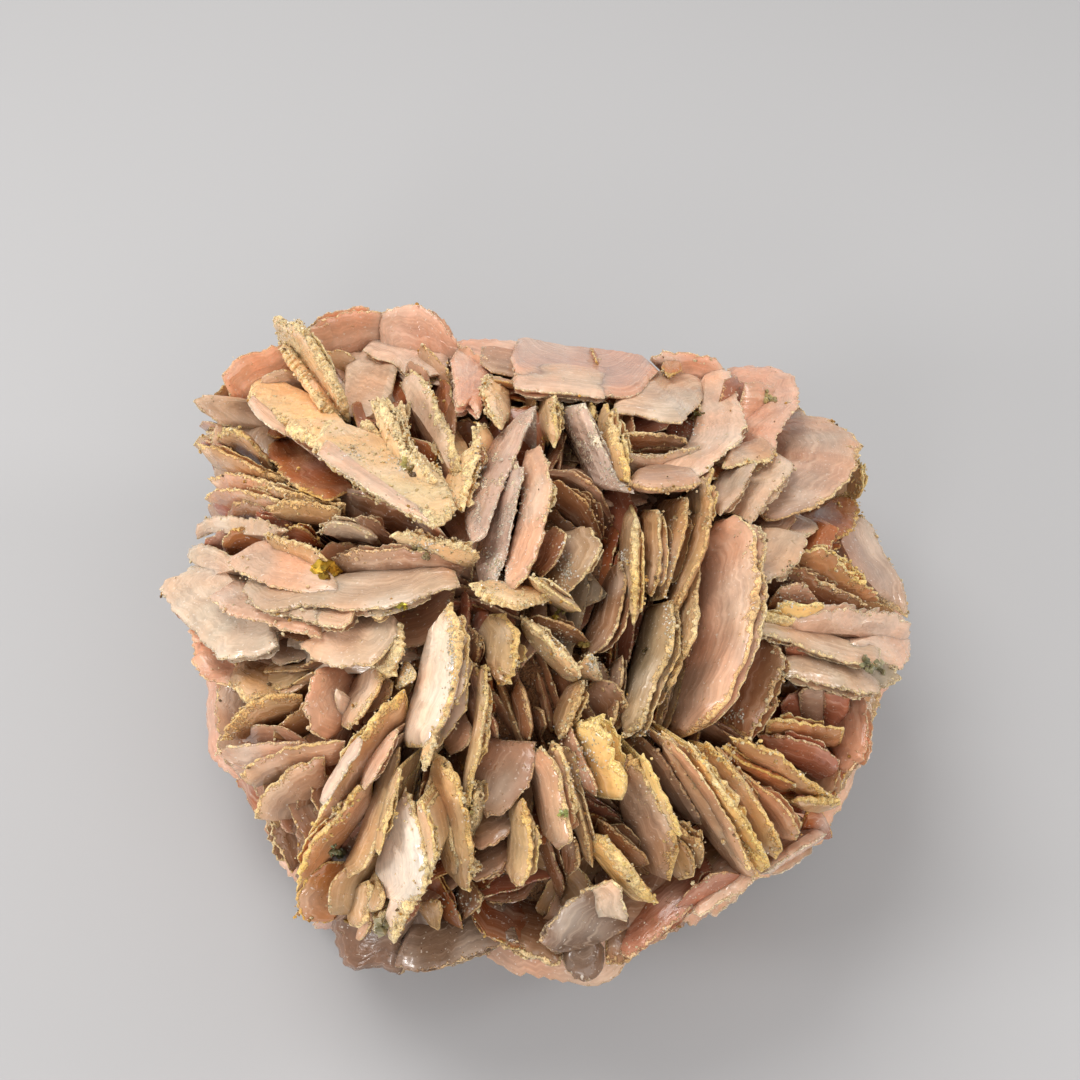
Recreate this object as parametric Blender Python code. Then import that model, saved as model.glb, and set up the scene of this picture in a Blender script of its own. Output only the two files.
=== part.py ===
"""Sand rose: one intergrown cluster of thin crystal blades on a massive root, cut flat below.

Drawn in millimetres, built in metres.  +X is the long side, +Z is up, the rest face is z = 0.

The blades are laid out on a drawing sheet 1080 x 1080 seen from EYE, above the front of the
cluster.  Every blade is a planar plate.  Its outline is a crest (the free rim) and a foot (the
line where the plate passes below its neighbours), both written as points on the sheet:
    name, crest, foot (points, or one shift of the crest), depth of the foot below the crest in mm,
    height of the crest over the growth dome in mm, rim thickness in mm, tone of the crystal.
The sheet point gives the direction, the growth dome gives the distance, so plates stand on the
dome as they grew.  Blades of the far side and of the underside follow a seeded rule further on.
"""

import math
import random

import bmesh
import bpy
import numpy as np
from mathutils import Vector, geometry

# ---------------------------------------------------------------- driving dimensions, in mm
DOME_C = np.array([0.0, -3.2, 20.0])   # middle of the growth dome
DOME_R = np.array([47.0, 46.0, 28.0])  # its half width, half depth and half height
ROOT = (0.82, 0.91)                    # size of the massive root against the dome, least and most
DEEP = 7.0                             # how far a plate runs on below its foot
FAN_PITCH = (3.6, 4.8)                 # distance between the plates of a far-side fan
FAN_HALF = (12.0, 16.0)                # their half length
TILT = math.radians(54.0)              # the sheet looks down at this angle
TAN = 0.4                              # half the sheet's width over its distance
REACH = 172.0                          # from EYE to MIDDLE
MIDDLE = np.array([0.0, -3.2, 22.0])   # drawn at 537, 642 on the sheet

# ---------------------------------------------------------------- blades of the upper side

# (name, crest, foot, D, h, t, tone)
# crest and foot are sheet points; foot may be a (du, dv) pair
P = [
 # --- upper left
 ("tl1", [(277,316),(298,321),(313,337),(330,365),(345,395),(353,420)], [(343,424),(322,401),(300,373),(282,346)], 3, 2, 1.6, "crust"),
 ("tl2", [(279,349),(294,373),(318,405),(340,430)], [(352,420),(330,385),(305,350),(290,338)], 4, 0.5, 2.0, "crust"),
 ("tl3", [(248,397),(256,409),(272,421),(295,436),(318,452)], [(352,436),(330,414),(300,396),(268,382),(252,385)], 4, 3, 2.2, "crust"),
 ("tl4", [(314,450),(332,468),(365,488),(400,509),(437,527),(449,523),(457,513)], [(446,484),(420,458),(392,446),(352,431),(325,424)], 4, 4, 2.4, "crust"),
 ("tl5", [(267,445),(270,456),(284,475),(306,490),(330,500)], [(352,490),(330,462),(300,444),(278,440)], 7, 0, 1.4, "amber"),
 ("tl6", [(236,396),(205,393),(194,398),(204,410),(224,425)], [(262,430),(264,404)], 4, 0, 1.5, "cream"),
 ("tl7", [(229,399),(225,378),(234,362),(252,352),(284,345)], [(302,372),(282,402),(250,404)], 5, -1, 1.4, "peach"),
 ("tl9", [(306,332),(328,320),(355,313),(381,311)], [(386,345),(345,353),(320,348)], 5, -2, 1.6, "peach"),
 ("tl10", [(381,344),(377,312),(392,306),(419,303),(437,317),(457,339)], [(462,362),(430,372),(395,366)], 7, -1, 1.5, "pink"),
 ("tl11", [(362,350),(380,357),(396,361),(404,370),(412,365),(428,374),(446,372)], [(450,350),(400,342),(370,343)], 5, 0.5, 1.2, "pinkwhite"),
 ("tl12", [(372,398),(384,378),(396,362)], (24,20), 7, -3, 1.2, "amber"),
 ("tl13", [(402,386),(416,371),(428,381),(440,402),(450,425),(462,455),(463,472)], [(455,475),(443,447),(425,420),(408,400)], 4, 1.5, 1.5, "pinkwhite"),
 ("tl14", [(413,418),(432,436),(446,456),(455,478)], (18,-14), 5, 0.5, 1.4, "crust"),
 ("tl15", [(372,399),(388,403),(400,420),(410,445),(425,460),(440,478)], [(430,490),(405,465),(392,440),(380,418)], 4, 1.5, 1.6, "crust"),
 ("tl16", [(418,428),(436,446),(452,470)], (-24,8), 7, -3, 1.2, "amber"),
 ("tl20", [(446,368),(451,390),(452,415),(453,437)], (-17,-4), 8, -2, 1.2, "amber"),
 ("tl21", [(449,365),(452,385),(455,412),(463,411),(467,408),(478,423)], [(486,400),(492,370),(500,347),(460,345)], 6, 1, 1.3, "pink"),
 # --- top
 ("tc1", [(510,360),(517,372),(545,380),(580,386),(605,391),(628,393),(643,388),(650,378),(660,373)], [(645,359),(620,352),(585,347),(545,343),(518,340)], 6, 2, 1.4, "pink"),
 ("tc2", [(512,378),(513,390),(530,395),(560,396),(600,400),(612,393)], [(610,380),(560,372),(525,372)], 5, 0.5, 1.3, "pinkwhite"),
 ("tc3", [(456,340),(480,339),(518,341)], [(515,365),(490,372),(462,370)], 6, -1, 1.4, "pink"),
 ("tc4", [(612,412),(640,417),(665,426),(682,427),(693,414),(704,398)], [(702,382),(665,377),(640,386),(618,398)], 6, 1, 1.3, "milky"),
 ("tc5", [(650,360),(662,353),(690,353),(713,356),(725,369)], [(728,392),(700,384),(668,378)], 6, 0, 1.5, "peach"),
 ("tc6", [(722,366),(737,382),(740,408),(746,428),(742,442),(725,456),(704,474),(690,481)], [(660,472),(690,446),(697,425),(706,395),(705,375)], 6, 2, 1.4, "pinkwhite"),
 ("tc7", [(618,433),(640,433),(665,434),(686,438)], [(690,452),(650,452),(618,450)], 7, 0, 1.4, "brown"),
 ("tc8", [(625,455),(660,455),(700,446)], [(702,464),(660,472),(632,472)], 6, 0, 1.2, "milky"),
 ("tc9", [(628,489),(650,497),(685,496),(701,486)], [(698,477),(660,475),(632,477)], 4, 3, 1.8, "rose"),
 ("tc10", [(583,403),(592,432),(603,460),(612,480),(634,494)], [(603,489),(586,460),(572,432),(562,408)], 6, 2, 1.4, "mauve"),
 ("tc11", [(604,402),(611,407),(616,430),(621,455),(627,482)], [(612,482),(606,455),(601,420)], 6, 2, 1.6, "ochre"),
 ("tc14", [(548,458),(575,470),(600,487),(628,516)], (-14,16), 7, -2, 1.2, "mauve"),
 ("tc15", [(546,470),(575,490),(612,521)], (-12,20), 6, -0.5, 1.2, "brown"),
 # --- centre
 ("c1", [(530,425),(512,460),(497,495),(488,522),(480,543),(473,547)], [(467,530),(471,505),(483,472),(496,445),(520,420),(536,406)], 4, 2, 1.4, "mauvepink"),
 ("c2", [(522,445),(524,480),(519,515),(513,545),(500,590)], [(484,590),(481,560),(488,525),(500,480)], 5, 1, 1.3, "mauvepink"),
 ("c3", [(527,450),(541,447),(549,462),(553,480),(551,505),(546,530),(538,555),(527,578),(516,590),(506,589)], [(508,568),(519,535),(526,500),(524,470)], 5, 3, 1.5, "pink"),
 ("m2", [(462,588),(478,598),(498,609),(515,612),(535,607),(558,605)], [(545,596),(515,590),(485,582)], 3, 2.5, 1.5, "crust"),
 ("m4a", [(549,524),(569,534),(560,560),(548,582)], [(532,570),(540,545)], 4, 1, 1.2, "brown"),
 ("m4b", [(585,526),(607,549),(599,563),(588,580),(577,600)], [(552,585),(562,555),(573,531)], 4, 1.5, 1.4, "olive"),
 ("m6", [(627,560),(628,590),(620,625),(610,648),(598,656)], [(583,655),(592,625),(606,590),(616,565)], 5, 0, 1.4, "brown"),
 ("m8", [(522,613),(540,627),(560,645),(578,662),(586,672)], [(575,682),(556,664),(536,640),(522,622)], 5, 2, 1.4, "crust"),
 ("m1", [(512,612),(515,640),(513,665),(508,684),(502,691)], [(498,680),(490,655),(484,635),(492,615)], 5, 2, 1.6, "ochre"),
 ("m12", [(602,672),(622,690),(634,715)], [(612,735),(590,712),(585,690)], 5, -1, 1.3, "brown"),
 ("m15", [(538,742),(537,765),(533,785),(522,798),(505,812),(487,820)], [(478,800),(484,765),(500,740)], 3, 0, 1.3, "mauvepink"),
 ("m17", [(524,797),(526,820),(526,850),(524,875),(518,890)], [(513,880),(512,850),(514,820),(516,800)], 5, 2, 1.6, "ochre"),
 ("m18", [(543,741),(552,765),(558,790),(563,815),(568,840),(562,854)], [(552,842),(542,815),(536,785),(536,755)], 5, 3, 1.6, "tanpink"),
 # --- left stack of pale plates
 ("w0", [(225,560),(238,575),(260,585),(300,594),(345,594)], [(330,572),(300,552),(270,545),(245,552)], 5, 1, 1.3, "creampink"),
 ("w1", [(241,590),(255,602),(270,607),(300,602),(340,604),(385,603),(410,598),(435,589),(460,584)], [(455,572),(400,570),(350,575),(320,582),(280,570),(250,578)], 6, 3, 1.4, "cream"),
 ("w2", [(205,600),(220,612),(240,624),(262,628),(280,634),(300,636),(322,640)], [(320,610),(270,598),(230,585)], 5, 1.5, 1.3, "creampink"),
 ("w2b", [(245,600),(262,608),(280,617),(310,622),(330,628)], [(340,605),(300,598),(262,594)], 4, 2, 1.2, "cream"),
 ("w3", [(195,568),(180,578),(166,583),(162,591),(172,607),(184,622),(198,638),(212,650),(225,661),(245,660),(268,657),(281,650)], [(275,632),(250,600),(225,570)], 4, 0, 1.5, "white"),
 ("w4", [(298,620),(305,616),(318,620),(320,627),(340,629),(350,625),(357,612)], [(360,600),(330,603),(305,610)], 3, 2.5, 1.2, "cream"),
 ("w5", [(297,643),(303,652),(315,660),(335,663),(352,661),(372,660),(384,650),(397,636),(399,622)], [(390,612),(360,618),(330,632)], 4, 2, 1.4, "cream"),
 # --- left fan
 ("l2", [(197,446),(216,447),(240,458),(262,470),(290,484)], [(285,492),(250,478),(214,463)], 5, -1, 1.4, "tan"),
 ("l4", [(210,479),(224,472),(250,476),(285,486)], [(285,500),(250,494),(218,486)], 5, -1, 1.4, "tanpink"),
 ("l5", [(257,487),(278,484),(305,492),(345,504)], [(345,515),(300,503),(268,492)], 5, 0, 1.2, "tan"),
 ("l6", [(203,497),(216,489),(245,490),(280,499)], [(285,512),(250,508),(215,504)], 5, -1, 1.4, "tanpink"),
 ("l9", [(196,540),(198,525),(208,517),(230,514),(262,520),(290,530)], [(280,536),(240,533),(215,532)], 4, 0, 1.5, "cream"),
 ("l10", [(200,568),(188,556),(190,548),(202,543),(215,548),(235,556)], [(240,570),(215,576)], 4, -1, 1.4, "cream"),
 ("l15", [(392,537),(410,531),(440,541),(470,546),(480,557)], [(474,563),(450,556),(425,549),(400,542)], 3, 1.5, 1.3, "crust"),
 ("l16", [(330,560),(360,548),(400,546),(440,552),(470,563)], [(460,575),(410,572),(350,575)], 5, -1, 1.3, "mauve"),
 ("l17", [(352,490),(380,505),(415,520),(445,532)], [(430,541),(390,533),(350,515)], 5, -2, 1.2, "brown"),
 ("l18", [(340,478),(365,492),(390,508)], (-25,18), 6, -2, 1.2, "mauve"),
 # --- lower left fan
 ("f1", [(453,598),(457,618),(458,645),(455,675),(452,700),(443,722),(438,748)], [(408,747),(413,715),(420,688),(428,655),(438,622)], 6, 4, 2.0, "glossy"),
 ("f2", [(383,662),(378,682),(365,707),(350,731)], [(340,723),(352,692),(368,662)], 5, 1, 1.5, "cream"),
 ("f5", [(335,663),(316,669),(303,688),(299,712),(307,735),(325,744),(340,738)], [(346,715),(338,690),(350,668)], 5, 0, 1.5, "amber"),
 ("f7", [(404,680),(384,702),(362,727),(343,757),(328,785),(318,810),(303,838)], [(318,832),(345,800),(368,770),(392,742),(408,712)], 6, 2, 1.8, "amberochre"),
 ("f8", [(372,770),(352,790),(335,818),(312,843),(301,862),(292,893)], [(300,890),(320,862),(333,848),(352,822),(372,795)], 5, 2, 1.6, "tanpink"),
 ("f9", [(318,862),(306,882),(299,902),(303,922),(318,926)], [(338,918),(345,880),(350,862)], 5, 0, 1.5, "amber"),
 ("f10", [(404,745),(396,775),(390,800),(383,822),(374,845),(366,865),(352,880)], [(344,875),(358,845),(370,810),(380,780),(392,752)], 5, 2, 1.6, "tan"),
 ("f11", [(409,780),(418,802),(424,828),(431,852),(433,873),(428,892),(415,910),(403,932),(396,945)], [(390,938),(393,915),(400,897),(388,893),(386,868),(393,832),(402,800)], 5, 3, 1.8, "glossy"),
 ("f16", [(477,660),(484,690),(487,715),(486,742),(482,768)], [(462,770),(458,740),(466,700),(470,668)], 6, 1, 1.4, "mauve"),
 ("f17", [(440,745),(449,760),(456,785),(461,808),(464,830),(465,845)], [(450,835),(443,812),(436,782),(434,755)], 5, 2, 1.6, "ochre"),
 # --- far left low
 ("ll1", [(217,740),(232,722),(250,703),(275,695),(302,694)], [(303,708),(280,718),(255,730),(235,738)], 5, -2, 1.4, "tan"),
 ("ll2", [(212,752),(226,742),(260,737),(300,738),(340,745)], [(325,757),(290,761),(255,762),(228,757)], 4, -1, 1.5, "creampink"),
 ("ll3", [(240,778),(258,765),(285,755),(315,750),(345,745)], [(340,760),(310,766),(275,778),(250,784)], 4, 0, 1.5, "tanpink"),
 ("ll4", [(254,820),(262,800),(280,782),(300,767),(325,760)], [(325,775),(312,790),(300,805),(290,815),(270,819)], 4, 0, 1.5, "tanpink"),
 ("ll5", [(272,820),(272,840),(280,860),(292,875)], [(310,850),(318,820),(320,795)], 6, -4, 1.4, "brown"),
 ("z7", [(192,640),(193,660),(203,676),(222,684),(240,692)], [(260,670),(230,650)], 5, -6, 1.6, "peach"),
 ("z8", [(228,684),(246,702),(275,706),(300,700)], [(300,672),(262,662),(235,668)], 6, -4, 1.5, "tan"),
 # --- lower right
 ("n1", [(584,718),(600,717),(612,735),(618,760),(625,780),(628,801)], [(612,799),(600,775),(590,745),(578,722)], 3, 3, 1.4, "ochreface"),
 ("n1b", [(575,722),(590,760),(606,798)], [(580,790),(566,760),(566,730)], 5, 2, 1.3, "mauve"),
 ("n2", [(618,746),(636,762),(652,787),(668,812),(681,838)], [(670,880),(648,860),(632,820),(622,780)], 6, 2.5, 1.7, "amberochre"),
 ("n3", [(596,830),(618,842),(636,864),(652,888),(664,902)], [(645,900),(622,874),(602,850),(588,838)], 5, 1.5, 1.6, "ochreface"),
 ("n4", [(600,813),(625,833),(655,860)], [(640,868),(615,850),(595,828)], 4, -1, 1.2, "brown"),
 ("n4b", [(640,728),(660,752),(682,785),(705,825)], [(690,822),(655,770),(628,742)], 6, 0, 1.3, "mauve"),
 ("n5", [(660,724),(682,752),(703,785),(722,812),(742,843),(764,876)], [(748,878),(722,840),(698,808),(680,780),(665,748)], 6, 3, 1.8, "amber"),
 ("n5b", [(698,748),(716,770),(738,802),(758,835),(776,862)], [(762,872),(742,842),(716,800),(692,765),(680,748)], 3, 3.5, 1.5, "ochre"),
 ("n6", [(708,738),(722,752),(742,778),(760,800),(775,825),(786,845)], [(776,858),(752,825),(730,795),(712,768),(704,745)], 4, 3, 1.5, "ochre"),
 ("n7", [(716,738),(740,765),(758,790),(771,812)], [(762,815),(740,790),(722,765)], 4, 2, 1.3, "tan"),
 ("n8", [(741,762),(762,780),(780,792),(795,810),(803,830),(800,838)], [(790,840),(772,815),(752,790)], 4, 2, 1.4, "tanpink"),
 ("n9", [(726,729),(750,737),(782,749),(800,764),(818,781),(843,798)], [(820,796),(795,783),(765,765),(738,748)], 4, 2, 1.5, "ochre"),
 ("n12", [(830,838),(815,848),(795,860),(775,873),(763,880)], [(760,868),(790,848),(810,832),(822,832)], 4, 0, 1.8, "pinkwhite"),
 ("n13a", [(765,878),(742,890),(722,903),(700,920),(691,918)], [(700,895),(725,878),(745,862)], 4, 0, 1.8, "pinkwhite"),
 ("n13b", [(700,896),(685,912),(668,930),(650,946),(630,960),(612,965)], [(630,925),(650,905),(680,888),(712,872)], 5, -1, 1.8, "rose"),
 ("n13c", [(668,893),(700,882),(722,868),(740,862)], (10,16), 3, 0, 1.3, "rose"),
 # --- right
 ("r1", [(718,518),(728,519),(736,516),(750,522),(757,535),(756,560),(758,585),(757,610),(752,635),(745,658),(736,680),(730,698),(718,712),(705,725)], [(690,735),(672,720),(680,690),(692,650),(700,600),(705,560),(712,530)], 9, 4, 1.7, "pinkface"),
 ("r2a", [(706,478),(712,500),(708,525),(703,550),(692,575),(683,600),(677,618)], [(668,620),(672,590),(680,555),(686,520),(692,490)], 6, 2.5, 1.6, "tan"),
 ("r2b", [(690,498),(688,525),(682,550),(674,575),(668,598)], [(655,600),(662,560),(664,520),(665,500)], 6, 2, 1.4, "tan"),
 ("r2c", [(674,600),(672,625),(668,650),(660,665),(652,680),(645,700),(640,720),(632,735),(625,740)], [(622,720),(630,680),(640,640),(655,605)], 6, 2, 1.6, "olive"),
 ("r2d", [(703,560),(700,600),(697,638),(684,660),(676,682),(664,694)], [(654,690),(664,655),(674,612),(688,580)], 6, 1.5, 1.4, "olive"),
 ("r3a", [(641,520),(643,560),(643,590),(640,615),(637,628)], [(633,605),(630,570),(630,530),(632,505)], 6, 2.5, 1.5, "ochre"),
 ("s1", [(758,466),(750,482),(742,496),(732,508),(722,519)], [(714,510),(715,485),(728,470)], 5, 2, 1.3, "milky"),
 ("s2", [(795,463),(788,478),(776,495),(765,503),(758,515),(752,522)], [(730,512),(742,490),(755,470),(775,452)], 5, 1, 1.3, "milky"),
 ("s3", [(800,408),(812,419),(832,424),(852,441),(862,451),(856,474),(838,494),(818,511),(796,518),(768,523)], [(757,512),(772,488),(790,462),(780,442),(788,420)], 8, 0, 1.6, "pinkface"),
 ("s4", [(726,369),(775,369),(798,383),(803,402),(790,422),(778,437),(778,450),(765,455)], [(735,450),(745,430),(740,400),(738,385)], 7, 0, 1.5, "pink"),
 ("s6", [(858,498),(856,518),(848,532),(830,539)], [(808,535),(818,514),(840,498)], 6, -2, 1.4, "amber"),
 ("s7", [(857,512),(870,524),(878,545),(892,568),(903,595),(909,618)], [(880,600),(850,575),(835,545),(845,530)], 7, -2, 1.6, "pinkface"),
 ("s8", [(809,532),(800,552),(786,570),(772,580),(760,585)], [(756,570),(757,545),(770,528)], 4, 2, 1.4, "cream"),
 ("s9", [(798,550),(822,548),(842,560),(864,580),(882,602)], [(860,600),(835,590),(805,575),(790,560)], 6, 1, 1.5, "amberochre"),
 ("s10", [(785,562),(815,575),(850,592),(870,605)], [(850,608),(810,600),(775,590),(770,580)], 5, 0, 1.3, "brown"),
 ("s13", [(790,618),(820,607),(850,606),(885,612),(908,618),(910,635)], [(890,650),(850,630),(815,628),(790,626)], 5, 1, 1.5, "pinkwhite"),
 ("s14", [(757,632),(790,638),(820,648),(842,655),(862,662),(880,666)], [(880,650),(845,640),(810,626),(760,623)], 4, 2, 1.4, "cream"),
 ("s15", [(912,640),(911,660),(905,670),(893,665),(865,661)], [(850,645),(875,638),(900,636)], 4, 0.5, 1.5, "pinkwhite"),
 ("s16", [(782,672),(810,678),(840,687),(862,692),(880,690),(882,680)], [(862,672),(830,664),(800,660),(782,662)], 4, 1.5, 1.4, "cream"),
 ("s18", [(785,648),(820,655),(862,668)], (0,14), 5, -1, 1.2, "rose"),
 ("s19", [(781,648),(786,662),(776,684),(768,702),(758,722),(748,738)], [(722,722),(735,690),(748,650),(757,634)], 6, 1, 1.5, "brown"),
 ("s20a", [(862,690),(870,700),(872,725),(873,745),(868,765),(860,768),(852,776),(840,772)], [(835,755),(840,720),(845,695)], 6, -2, 1.6, "peach"),
 ("s21", [(768,722),(790,724),(815,730),(845,728)], [(840,745),(800,740),(765,735)], 5, -1, 1.3, "amberochre"),
 ("s22", [(756,735),(785,735),(820,745),(840,760)], [(835,785),(800,760),(765,745)], 6, -2, 1.3, "rose"),
 # --- low front
 ("z1", [(340,895),(334,920),(337,945),(343,966),(375,966),(405,972)], [(400,940),(370,930),(355,900)], 5, -3, 2.0, "peach"),
 ("z2", [(395,972),(430,972),(465,962),(500,950),(520,945)], [(510,915),(460,905),(410,920)], 7, -3, 2.0, "brown"),
 ("z3", [(500,948),(530,958),(560,966)], [(560,930),(530,915),(500,915)], 6, -3, 1.8, "brown"),
 ("z4a", [(590,886),(610,880),(622,884),(628,905),(628,920)], [(600,915),(592,900)], 3, 0, 1.5, "milky"),
 ("z4b", [(556,957),(540,942),(553,921),(572,900),(592,890)], [(628,915),(605,930),(575,945)], 4, -1, 1.8, "rose"),
 ("z5", [(557,960),(575,978),(592,980),(605,966),(606,950)], [(595,935),(572,940)], 4, -2, 2.0, "brown"),
 ("z6", [(606,968),(628,962),(640,952)], [(640,925),(620,915),(606,930)], 5, -2, 1.8, "brown"),
]

# ---------------------------------------------------------------- sheet and growth dome
LOOK = np.array([0.0, math.cos(TILT), -math.sin(TILT)])
RIGHT = np.array([1.0, 0.0, 0.0])
UP = np.array([0.0, math.sin(TILT), math.cos(TILT)])


def ray(u, v):
    d = LOOK + (u - 540.0) / 540.0 * TAN * RIGHT + (540.0 - v) / 540.0 * TAN * UP
    return d / np.linalg.norm(d)


EYE = MIDDLE - REACH * ray(537.0, 642.0)


def sheet(p):
    q = np.asarray(p) - EYE
    w = q @ LOOK
    return 540.0 + 540.0 * (q @ RIGHT) / w / TAN, 540.0 - 540.0 * (q @ UP) / w / TAN


def dome_distance(u, v):
    """Distance from EYE to the growth dome along the ray, or to its nearest pass beyond the rim."""
    d = ray(u, v) / DOME_R
    o = (EYE - DOME_C) / DOME_R
    a, b, c = d @ d, o @ d, o @ o - 1.0
    return (-b - math.sqrt(max(b * b - a * c, 0.0))) / a


def thin_out(points, slack):
    """Douglas-Peucker on sheet points."""
    if len(points) < 3:
        return list(points)
    a, b = np.array(points[0], float), np.array(points[-1], float)
    ab = b - a
    length = max(np.linalg.norm(ab), 1e-6)
    off = [abs(ab[0] * (p[1] - a[1]) - ab[1] * (p[0] - a[0])) / length for p in points[1:-1]]
    k = int(np.argmax(off))
    if off[k] < slack:
        return [points[0], points[-1]]
    return thin_out(points[: k + 2], slack)[:-1] + thin_out(points[k + 1 :], slack)


def plate_of(crest, foot, depth, height):
    """The plane of a plate and its outline: sheet points become points on one plane."""
    if isinstance(foot, tuple):
        foot = [(u + foot[0], v + foot[1]) for u, v in reversed(crest)]
    top = np.array([EYE + ray(u, v) * (dome_distance(u, v) - height) for u, v in crest])
    low = np.array([EYE + ray(u, v) * (dome_distance(u, v) - height + depth) for u, v in foot])
    both = np.vstack([top, low])
    weight = np.array([1.0 / len(top)] * len(top) + [1.0 / len(low)] * len(low))
    middle = (both * weight[:, None]).sum(axis=0) / weight.sum()
    _, _, vt = np.linalg.svd((both - middle) * np.sqrt(weight)[:, None])
    n = vt[2]
    view = (EYE - middle) / np.linalg.norm(EYE - middle)
    if n @ view < 0:
        n = -n
    face = n @ view
    if face < 0.22:  # a plate never lies quite along the line of sight
        side = n - face * view
        side /= np.linalg.norm(side)
        n = 0.22 * view + math.sqrt(1 - 0.22**2) * side

    def on_plane(u, v):
        d = ray(u, v)
        return EYE + d * (((middle - EYE) @ n) / (d @ n))

    top = np.array([on_plane(u, v) for u, v in crest])
    low = np.array([on_plane(u, v) for u, v in foot])
    down = low.mean(axis=0) - top.mean(axis=0)
    down /= np.linalg.norm(down)
    return top, low, n, down


def crosses(poly):
    """Whether a flat outline crosses itself."""
    k = len(poly)
    for i in range(k):
        for j in range(i + 2, k):
            if i == 0 and j == k - 1:
                continue
            if geometry.intersect_line_line_2d(poly[i], poly[(i + 1) % k], poly[j], poly[(j + 1) % k]):
                return True
    return False


def slab(name, outline, n, front, back, widths):
    """A closed plate: the outline pushed along n by the half widths."""
    c = outline.mean(axis=0)
    e1 = outline[0] - c
    e1 -= (e1 @ n) * n
    e1 /= np.linalg.norm(e1)
    e2 = np.cross(n, e1)
    flat = [Vector(((p - c) @ e1, (p - c) @ e2)) for p in outline]
    order = list(range(len(flat)))
    if crosses(flat):
        order = geometry.convex_hull_2d(flat)
    flat = [flat[i] for i in order]
    area = sum(flat[i].cross(flat[(i + 1) % len(flat)]) for i in range(len(flat)))
    if area < 0:
        order.reverse()
        flat.reverse()
    pts, w = outline[order], np.asarray(widths)[order]
    k = len(pts)
    verts = np.vstack([pts + n * (front * w)[:, None], pts - n * (back * w)[:, None]]) * 0.001
    tris = geometry.tessellate_polygon([[Vector((p.x, p.y, 0)) for p in flat]])
    faces = []
    for a, b, d in tris:
        if (flat[b] - flat[a]).cross(flat[d] - flat[a]) < 0:
            b, d = d, b
        faces += [(a, b, d), (a + k, d + k, b + k)]
    for i in range(k):
        j = (i + 1) % k
        faces += [(i, i + k, j + k), (i, j + k, j)]
    mesh = bpy.data.meshes.new(name)
    mesh.from_pydata(verts.tolist(), [], faces)
    return bpy.data.objects.new(name, mesh)


for old in list(bpy.data.objects):
    bpy.data.objects.remove(old)
blades = bpy.data.collections.new("blades")
bpy.context.scene.collection.children.link(blades)


def add_blade(name, crest, foot, depth, height, thick):
    crest = thin_out(crest, 5.0)
    if isinstance(foot, list):
        foot = thin_out(foot, 9.0)
    top, low, n, down = plate_of(crest, foot, depth, height)
    root = low + down * DEEP
    outline = np.vstack([top, root])
    widths = [thick] * len(top) + [thick * 1.5] * len(root)
    ob = slab(name, outline, n, 0.5, 0.5, widths)
    blades.objects.link(ob)
    return ob


for row in P:
    add_blade(*row[:6])

# ---------------------------------------------------------------- far side and underside
# outline of the whole cluster on the sheet: nothing of the far side stands out past it
OUTLINE = [(420,304),(456,340),(520,342),(588,348),(640,358),(700,357),(728,370),(776,371),(800,388),
           (806,414),(838,430),(861,449),(864,494),(857,513),(880,548),(903,590),(908,640),(905,668),
           (884,690),(872,720),(872,755),(845,774),(838,800),(830,838),(790,865),(745,884),(697,917),
           (640,950),(592,976),(560,966),(500,952),(410,976),(345,963),(335,925),(303,915),(283,862),
           (257,818),(268,792),(243,779),(214,753),(246,702),(206,672),(164,602),(180,578),(190,560),
           (200,520),(206,498),(212,480),(200,447),(196,402),(228,376),(246,350),(278,343),(274,316),
           (303,323),(340,317)]


def inside_outline(p):
    u, v = sheet(p)
    hit = False
    for (a, b), (c, d) in zip(OUTLINE, OUTLINE[1:] + OUTLINE[:1]):
        if (b > v) != (d > v) and u < (c - a) * (v - b) / (d - b) + a:
            hit = not hit
    return hit


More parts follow.
